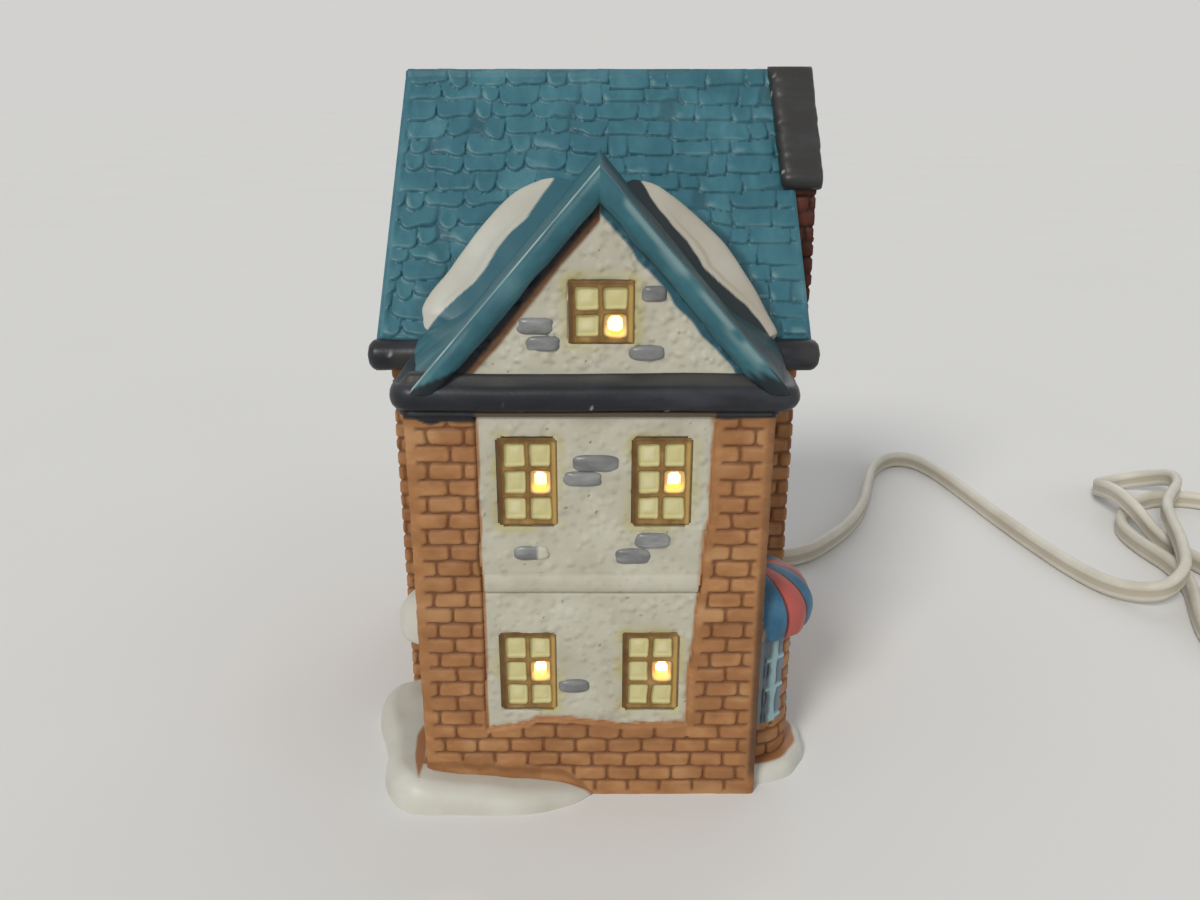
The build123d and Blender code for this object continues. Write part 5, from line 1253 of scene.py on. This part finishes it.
BOW_Y, LIP_OUT, LIP_IN = WING_FRONT + 15, 13.6, 8.6
turn = np.linspace(-math.pi / 2, math.pi / 2, 90)
rim = np.stack([np.cos(turn), np.sin(turn)], -1)
middle = np.array([WING_RIGHT, BOW_Y])
wobble = (LIP_OUT + 0.25 * waver(turn * 6, 1.7, 174))[:, None]
points, far = bank(middle + rim * wobble, middle + rim * LIP_IN, 3.5, 2.4, 175, 24)
marks = {"stray": smooth(1.8, 2.6, far + 0.3 * lumps(points[..., 0], points[..., 1], 5, 176))}
clay("snow_lip", [grid_sheet(points[:, ::-1], marks)], snow_glaze, ["snow_lip_right"])

# %% [markdown]
# The roof's crescents lie in the valleys. Their outer edges swing over the slates in a wavy line, and along
# the wing's roof the brush did not follow the valley: teal on the left and charcoal on the right run a few
# millimetres up the bank, to a line of their own. So the bank is a low dome between two lines across the
# slope, and the paint's line is a list of heights with distances from the middle. Shade is painted on the
# banks: both are dulled to a brownish grey, the right one much more, with a brown furrow beside the paint's
# line, and the charcoal on the right is partly painted shade as well.

# %% Snow on the roof
TEAL_LINE = np.array([
    (89.8, 34.8), (91.6, 33.2), (93.8, 30.7), (96.5, 27.3), (98.9, 24.2), (100.7, 22.8), (105.2, 20.3),
    (107.6, 18.0), (111.1, 14.3), (115.5, 11.1), (119.0, 8.5),
])
DARK_LINE = np.array([
    (87.5, 36.8), (89.1, 36.1), (91.9, 33.9), (94.5, 31.4), (96.9, 28.3), (99.0, 25.5), (101.6, 22.6),
    (103.8, 21.4), (106.5, 19.6), (109.4, 16.7), (112.6, 13.8), (115.3, 11.8), (118.3, 10.1),
])


def crescent(way, outline, paint_line, attribute, furrow_shade, overall_shade, seed):
    """A bank in one valley, painted over along the wing's roof up to the paint's line."""
    share, across = grid(0, 1, 130, 0, 1, 34)
    x_out, z_out = curve_through(outline, share.shape[1]).T
    z_in = z_out - 5.0 * np.sin(math.pi * np.clip(share, 0.02, 0.98)) - 0.6
    x_in = (WING_RIDGE_Z - z_in) / WING_SLOPE - 1.2
    x = GABLE_X + way * (x_in + (x_out - x_in) * across)
    z = z_in + (z_out - z_in) * across
    y = RIDGE_Y - (RIDGE_Z - z) / ROOF_SLOPE
    arch = np.sin(math.pi * share)
    full = 0.06 + 0.94 * np.sqrt(np.clip(arch, 0, 1))
    thick = 2.3 * quarter_round((across - 0.55) / 0.45) * full - 0.7 + 0.08 * lumps(x, z, 4, seed + 1)
    points = np.stack([x, y - thick * slope_sin, z + thick * slope_cos], -1)
    beyond = np.abs(x) - np.interp(z, *paint_line.T) + 0.25 * lumps(x, z, 3, seed + 2)
    # Painted shade: a brown furrow beside the paint's line and a brownish dulling over the bank, both
    # stronger on the right bank.
    shaded_furrow = np.exp(-((beyond - 1.7) / 0.9) ** 2) * furrow_shade * arch
    marks = {
        attribute: smooth(0.2, -0.2, beyond),
        "grime_and_shade": np.maximum(shaded_furrow, overall_shade + 0.1 * lumps(x, z, 6, seed + 3)),
    }
    return grid_sheet(points, marks, flip=way > 0)


left_bank = crescent(-1, SNOW_LEFT, TEAL_LINE, "teal", 0.2, 0.15, 181)
right_bank = crescent(1, SNOW_RIGHT, DARK_LINE, "dark", 0.75, 0.45, 185)
clay("roof_snow_left_bank", [left_bank], snow_glaze, ["roof_snow_left"])
clay("roof_snow_right_bank", [right_bank], snow_glaze, ["roof_snow_right"])

# %% [markdown]
# On the right wall a small bow window bulges out under a striped awning. Its foot and posts are brick, its
# lights are painted blue grey with pale bars that one loose brush stroke each gave. Everything here is a
# sheet wrapped round half a cylinder.

# %% Bow window
LIGHT_MIDDLE_Z, LIGHT_HALF_X, LIGHT_HALF_Z, SILL_Z = 22.4, 3.35, 10.6, 12.9


def bow_sheet(radius, low, high, field):
    angle, z = grid(-math.pi / 2, math.pi / 2, 120, low, high, int((high - low) / 0.26))
    out = round_wall(0, 0, 1, angle, 0.0)
    rise, marks = field(angle, z, radius)
    return folded_sheet(round_wall(WING_RIGHT, BOW_Y, radius, angle, z), out, rise, None, 0.8, marks)


def bow_bricks(angle, z, radius):
    face, tone = bricks(angle * radius, z, 191)
    return -0.55 + 0.5 * face + 0.1 * lumps(angle * radius, z, 2.2, 192), brick_marks(face, tone)


def bow_lights(angle, z, radius):
    """Three tall lights between brick posts; bars and a sill stand out, the glass lies back."""
    face, tone = bricks(angle * radius, z, 193)
    best = np.full(z.shape, 9.0)
    bars = np.zeros(z.shape)
    strokes = np.zeros(z.shape)
    for middle in (-1.08, 0.0, 1.08):
        x = (angle - middle) * radius + 0.1 * lumps(z, angle * 9, 3, 195)
        best = np.minimum(best, rounded_box(x, z - LIGHT_MIDDLE_Z, LIGHT_HALF_X, LIGHT_HALF_Z, 0.4))
        upright_bar = smooth(1.1, 0.7, np.abs(x - 0.5) + 0.35 * lumps(z, angle * 9, 1.6, 197))
        line = np.minimum(np.abs(x + 1.0 + 0.25 * waver(z, 2.2, 198)), np.abs(x + 1.7))
        stroke = smooth(0.32, 0.12, line) * smooth(-0.3, 0.2, lumps(z, angle * 3, 3.0, 199))
        strokes = np.maximum(strokes, stroke)
        level = np.minimum(np.abs(z - 19.8 - 0.12 * x), np.abs(z - 26.6 - 0.1 * x))
        level_bar = smooth(0.6, 0.3, level) * (x > -1.6)
        sill = smooth(0.55, 0.3, np.abs(z - SILL_Z)) * (x > -0.4)
        bars = np.maximum(bars, np.maximum.reduce([upright_bar, level_bar, sill]) * (np.abs(x) < 3.2))
    inside = smooth(0.15, -0.25, best)
    bars = bars * inside * smooth(-0.9, 0.0, lumps(angle * radius, z, 1.3, 196) + 0.5)
    jamb = inside * smooth(-1.5, -0.9, best)
    rise = (-0.25 + 0.42 * face) * (1 - inside) + inside * (-0.3 + 0.2 * jamb) + 0.45 * bars
    rise += 0.08 * lumps(angle * radius, z, 1.8, 194)
    marks = {key: values * (1 - inside) for key, values in brick_marks(face, tone).items()}
    marks.update(glass=inside, jamb=jamb * 0.8, bar=bars, seam=strokes * inside * (1 - bars) * 0.85)
    return rise, marks


bow_paint = paint(
    "bow_window_paint", *BRICK_SHADES,
    layers=[
        ("tone", BRICK_TONE), ("groove", BRICK_WASH), ("glass", (100, 112, 119)), ("jamb", (116, 127, 136)),
        ("seam", (26, 30, 34)), ("bar", (146, 174, 176)),
    ],
    rough=0.5, size=150,
)
foot = bow_sheet(9.5, 0, 11, bow_bricks)
clay("bow_window_brick_foot", [foot], brick_paint, ["bow_window_base"])
lights = bow_sheet(9.2, 10.7, 36, bow_lights)
clay("bow_window_lights", [lights], bow_paint, ["bow_window_glazing"])

# %% [markdown]
# The awning over the bow window is a shallow half dome with six wide gores, blue and coral in turn, pinched
# at dark red seams. Close to the wall the brush left a beige edge. A profile turned through half a circle
# gives the dome, and a few rows that turn under at its hem give it thickness.

# %% Awning
awning_paint = paint(
    "awning_paint", (38, 80, 106), (50, 95, 122), (66, 112, 138),
    layers=[("coral", (166, 82, 74)), ("seam", (88, 36, 33)), ("hem", (160, 140, 112))],
    rough=0.45, size=160, coat=0.06,
)
GORES, HEM = 6, 0.24
AWNING_PROFILE = [
    (9.2, 34.4), (10.9, 33.4), (11.9, 33.05), (12.7, 33.3), (13.2, 35.2), (13.3, 37.2), (12.8, 39.2),
    (11.1, 41.5), (8.2, 43.4), (4.6, 44.5), (0.6, 44.95),
]


def half_turn(outline, count, start, steps):
    """An outline turned through half a circle: its angles, how far up it each row is, radii and heights."""
    profile = curve_through(outline, count)
    angle, climb = grid(start, start + math.pi, steps, 0, 1, count)
    return angle, climb, profile[:, :1], profile[:, 1:]


angle, climb, radius, height = half_turn(AWNING_PROFILE, 72, -math.pi / 2, 181)
gore_at = (angle + math.pi / 2) / math.pi * GORES + 0.04 * lumps(climb * 12, angle * 4, 2.0, 201)
inside_gore = 1 - np.abs(gore_at - np.floor(gore_at) - 0.5) * 2
radius = radius * (0.94 + 0.06 * np.sqrt(np.clip(inside_gore, 0, 1)))
points = round_wall(WING_RIGHT, BOW_Y, radius, angle, height)
outward = climb > HEM
marks = {
    "coral": (np.mod(np.floor(gore_at), 2) == 1) * outward,
    # The rows that turn in under the hem are painted half dark as well.
    "seam": np.maximum(smooth(0.14, 0.04, inside_gore) * outward, smooth(HEM, 0.18, climb) * 0.5),
    "hem": smooth(0.16, 0.1, math.pi / 2 - np.abs(angle)) * smooth(0.5, 0.4, climb) * outward,
}
clay("awning_gores", [grid_sheet(points, marks)], awning_paint, ["awning"])

# %% [markdown]
# On the left wall only a lump of snow shows from the front. It lies on the hood of a side door, so a plain
# panelled door stands below it: four panels in a frame, and a small knob.

# %% Side door and its snow hood
door_paint = paint(
    "door_paint", (70, 42, 28), (92, 58, 38), (116, 78, 52),
    layers=[("groove", (40, 24, 16))], rough=0.45, size=200, stretch=(1, 1, 0.3), coat=0.08,
)
DOOR_Y, DOOR_HALF, DOOR_HIGH = BOW_Y, 6, 27
HOOD_PROFILE = [(5.2, 28.6), (7.0, 29.2), (7.5, 31.2), (7.1, 34.0), (5.6, 36.8), (3.0, 38.6), (0.4, 38.9)]
a, b = grid(-DOOR_HALF, DOOR_HALF, 70, 0, DOOR_HIGH, 140)
panel = np.full(a.shape, -9.0)
for x in (-2.5, 2.5):
    for z, half_z in ((7.5, 4.2), (19.5, 5.2)):
        panel = np.maximum(panel, -rounded_box(a - x, b - z, 1.8, half_z, 0.4))
knob = np.clip(1 - ((a - 4.9) ** 2 + (b - 13.2) ** 2) / 0.7, 0, 1)
to_edge = np.minimum(DOOR_HALF - np.abs(a), DOOR_HIGH - b)
door_rise = 1.1 - 0.4 * smooth(0, 0.5, panel) + 0.28 * smooth(0.7, 1.2, panel) + 0.6 * np.sqrt(knob)
door_rise += 0.05 * lumps(a, b, 1.6, 211) - 0.4 * smooth(0.5, 0, to_edge)
base = np.stack([np.full(a.shape, WING_LEFT), DOOR_Y - a, b], -1)
marks = {"groove": smooth(0.35, 0.05, np.abs(panel - 0.2)) * 0.9}
sheet = folded_sheet(base, np.array([-1.0, 0, 0]), door_rise, None, 0.8, marks)
clay("side_door_panels", [sheet], door_paint, ["side_door"])

angle, climb, radius, height = half_turn(HOOD_PROFILE, 40, math.pi / 2, 90)
radius = radius * (1 + 0.035 * lumps(angle * 5, climb * 6, 1.6, 221)) - 0.2
points = round_wall(WING_LEFT, DOOR_Y, radius, angle, height)
# The foot of the cap is painted darker.
sheet = grid_sheet(points, {"grime_and_shade": smooth(0.12, 0.0, climb) * 0.8})
clay("door_hood_snow_cap", [sheet], snow_glaze, ["door_hood_snow"])

# %% [markdown]
# The lamp set is made of plain bought parts: a plastic candelabra socket with a spring clip, a small clear
# bulb, a flat vinyl cord, an in-line switch with a thumb wheel, and a two-blade plug. Their solids already
# have the right shapes, so they stay and get better materials. Only the cord and its strain relief are drawn
# anew, in the next cell.

# %% Lamp materials
socket_plastic = paint(
    "socket_plastic", (196, 190, 176), (208, 203, 190), (218, 214, 202), rough=0.5, size=60,
)
moulded_plastic = paint(
    "moulded_plastic", (206, 200, 186), (216, 211, 198), (226, 222, 210), rough=0.36, size=50, bump=0.06,
)
brass = paint("brass", (176, 140, 72), (204, 168, 94), (224, 192, 124), rough=0.26, size=200, metal=1.0)
spring_steel = paint(
    "spring_steel", (146, 146, 144), (172, 172, 170), (192, 192, 190), rough=0.3, size=300, stretch=(1, 6, 1),
    metal=1.0,
)
solder = paint("solder", (140, 140, 138), (164, 164, 160), (186, 186, 182), rough=0.4, metal=1.0)
cord_vinyl = paint(
    "cord_vinyl", (188, 182, 166), (200, 195, 181), (210, 206, 194),
    layers=[("groove", (146, 132, 108))], rough=0.42, size=45, bump=0.05, grain=700,
)
tie_plastic = paint("tie_plastic", (30, 30, 30), (40, 40, 41), (54, 54, 55), rough=0.5)


def lit(name, colour, strength, clear):
    """Glass or wire that glows; the glow varies over it with noise, brighter in some places."""
    material, tree, shader, place = blank_paint(name)
    patches = noise_node(tree, place, 120, 2.0)
    tint = ramp_node(tree, patches, [(0.3, colour), (0.7, (1.0, 0.93, 0.8, 1.0))])
    tree.links.new(tint, shader.inputs["Base Color"])
    tree.links.new(tint, shader.inputs["Emission Color"])
    put(shader, {"Emission Strength": strength, "Transmission Weight": clear, "Roughness": 0.12})
    return material


finishes = {
    "bulb_glass": lit("bulb_glass_lit", (1.0, 0.78, 0.45, 1.0), 0.6, 0.7),
    "bulb_filament": lit("filament_lit", (1.0, 0.7, 0.35, 1.0), 25.0, 0.0),
    "bulb_base": brass, "bulb_tip_contact": solder, "lamp_socket": socket_plastic,
    "socket_screw_shell": brass, "socket_contact": brass, "socket_spring_clip": spring_steel,
    "cord_tie": tie_plastic,
    "switch_base": moulded_plastic, "switch_cover": moulded_plastic, "switch_contacts": brass,
    "switch_screw": spring_steel, "switch_wheel": socket_plastic, "plug_body": moulded_plastic,
    "plug_blades": brass,
}
for node, material in finishes.items():
    finish(node, material)
print("finishes on", len(finishes), "lamp nodes")

# %% [markdown]
# The cord itself: two round wires side by side with a groove between, standing on edge where it lies. The
# groove is painted darker, as painted shade. The section is carried along the smooth line of the cord's
# route, with its long side kept upright. The strain relief is a tapered sleeve with ribs, turned about the
# cord where it leaves the socket.

# %% Cord and strain relief
WIRE_APART, WIRE_RADIUS = 1.45, 1.55
section = []
for side, first, last in ((1, -118, 118), (-1, 62, 298)):
    for turn in np.radians(np.linspace(first, last, 11)):
        section.append((side * WIRE_APART + WIRE_RADIUS * math.cos(turn), WIRE_RADIUS * math.sin(turn)))
section = np.array(section)
line = cord_line / MM
ahead = np.gradient(line, axis=0)
ahead /= np.linalg.norm(ahead, axis=1)[:, None]
upward = np.array([0, 0, 1.0]) - ahead * ahead[:, 2:3]
upward /= np.linalg.norm(upward, axis=1)[:, None]
aside = np.cross(ahead, upward)
points = line[:, None] + upward[:, None] * section[None, :, 0:1] + aside[:, None] * section[None, :, 1:2]
# Painted shade: the groove between the two wires is darker.
sheet = grid_sheet(points, {"groove": smooth(1.0, 0.6, np.abs(section[:, 0])) * 0.6}, closed=True)
CORD_NODES = ["cord_lead", "cord_coil", "cord_tail", "cord_end"]
cord = clay("lamp_cord", [sheet], cord_vinyl, CORD_NODES, "lamp_set", 75)

RIBS, SLEEVE_WIDE, SLEEVE_TAPER = 7, 5.2, 1.4
relief_low, relief_high = box_of("strain_relief")
turn, share = np.meshgrid(around(48), np.linspace(0, 1, 90))
ribs = smooth(0.25, 0.6, 0.5 + 0.5 * np.cos(share * 2 * math.pi * RIBS))
sleeve = (SLEEVE_WIDE - SLEEVE_TAPER * share) * (0.9 + 0.1 * ribs) - 0.02
sleeve = sleeve * (1 - 0.3 * smooth(0.965, 1.0, share))
relief_y = relief_low.y + share * (relief_high.y - relief_low.y)
points = np.stack([LAMP_X + sleeve * np.sin(turn), relief_y, LAMP_Z + sleeve * np.cos(turn)], -1)
sheet = grid_sheet(points, closed=True)
clay("strain_relief_ribs", [sheet], moulded_plastic, ["strain_relief"], "lamp_set", 60)

# %% [markdown]
# A pale floor. It has no shine of its own, and its noise is so weak that it looks plain. Where the camera, a
# gloss or a glass looks past the floor, the world shows about the floor's own pale colour, so there is no
# horizon line.

# %% Floor
FLOOR_REACH = 9
FLOOR_SHADES = (219, 218, 215), (221, 220, 217)
BACKDROP_SHADE = (210, 209, 207)
floor_material, floor_tree, floor_shader, floor_place = blank_paint("pale_floor")
floor_noise = noise_node(floor_tree, floor_place, 6, 2.0)
floor_stops = [(stop, screen(*shade)) for stop, shade in zip((0.3, 0.7), FLOOR_SHADES)]
floor_tree.links.new(ramp_node(floor_tree, floor_noise, floor_stops), floor_shader.inputs["Base Color"])
put(floor_shader, {"Roughness": 1.0, "Specular IOR Level": 0.0})
floor_mesh = bpy.data.meshes.new("pale_floor")
floor_corners = [(x * FLOOR_REACH, y * FLOOR_REACH, 0) for x, y in ((-1, -1), (1, -1), (1, 1), (-1, 1))]
floor_mesh.from_pydata(floor_corners, [], [(0, 1, 2, 3)])
floor_mesh.materials.append(floor_material)
floor = placed("pale_floor", floor_mesh)
print("floor ready")

# %% [markdown]
# Soft lamps. Three broad suns light the house evenly: a key from the upper left in front, a weaker fill
# from the right and a little from behind, and the world adds an even grey. A sun's strength is the same
# everywhere, so the floor stays even to its far edge, and a paint looks about as it was mixed.
# Inside the house a small warm lamp stands ahead of the bulb and shines through the pierced panes.

# %% Light
SUNS = (
    ("key_sun", (-0.42, -0.76, 0.62), 1.95, 16, (1.0, 0.985, 0.96)),
    ("fill_sun", (0.75, -0.6, 0.45), 0.28, 50, (0.96, 0.98, 1.0)),
    ("back_sun", (0.2, 0.85, 0.6), 0.55, 50, (1.0, 1.0, 1.0)),
)
for name, comes_from, strength, spread, colour in SUNS:
    sun_data = bpy.data.lights.new(name, "SUN")
    sun_data.energy = strength
    sun_data.angle = math.radians(spread)
    sun_data.color = colour
    sun = placed(name, sun_data)
    sun.rotation_euler = (-Vector(comes_from)).to_track_quat("-Z", "Y").to_euler()
bulb_data = bpy.data.lights.new("bulb_glow", "POINT")
bulb_data.energy = 0.5
bulb_data.color = (1.0, 0.74, 0.4)
bulb_data.shadow_soft_size = 0.006
placed("bulb_glow", bulb_data).location = (0.0, -0.02, 0.045)

world = bpy.data.worlds.new("studio")
world.use_nodes = True
world_tree = world.node_tree
even_grey = world_tree.nodes["Background"]
put(even_grey, {"Color": (0.95, 0.97, 1.0, 1.0), "Strength": 0.42})
backdrop = world_tree.nodes.new("ShaderNodeBackground")
put(backdrop, {"Color": screen(*BACKDROP_SHADE)})
looked_at = world_tree.nodes.new("ShaderNodeLightPath")
either = looked_at.outputs["Is Camera Ray"]
for kind in ("Is Glossy Ray", "Is Transmission Ray"):
    joined = world_tree.nodes.new("ShaderNodeMath")
    joined.operation = "MAXIMUM"
    world_tree.links.new(either, joined.inputs[0])
    world_tree.links.new(looked_at.outputs[kind], joined.inputs[1])
    either = joined.outputs[0]
choice = world_tree.nodes.new("ShaderNodeMixShader")
world_tree.links.new(either, choice.inputs[0])
world_tree.links.new(even_grey.outputs[0], choice.inputs[1])
world_tree.links.new(backdrop.outputs[0], choice.inputs[2])
world_tree.links.new(choice.outputs[0], world_tree.nodes["World Output"].inputs["Surface"])
scene.world = world
scene.view_settings.view_transform = "Standard"
print("three soft suns, the bulb's glow and a pale world")
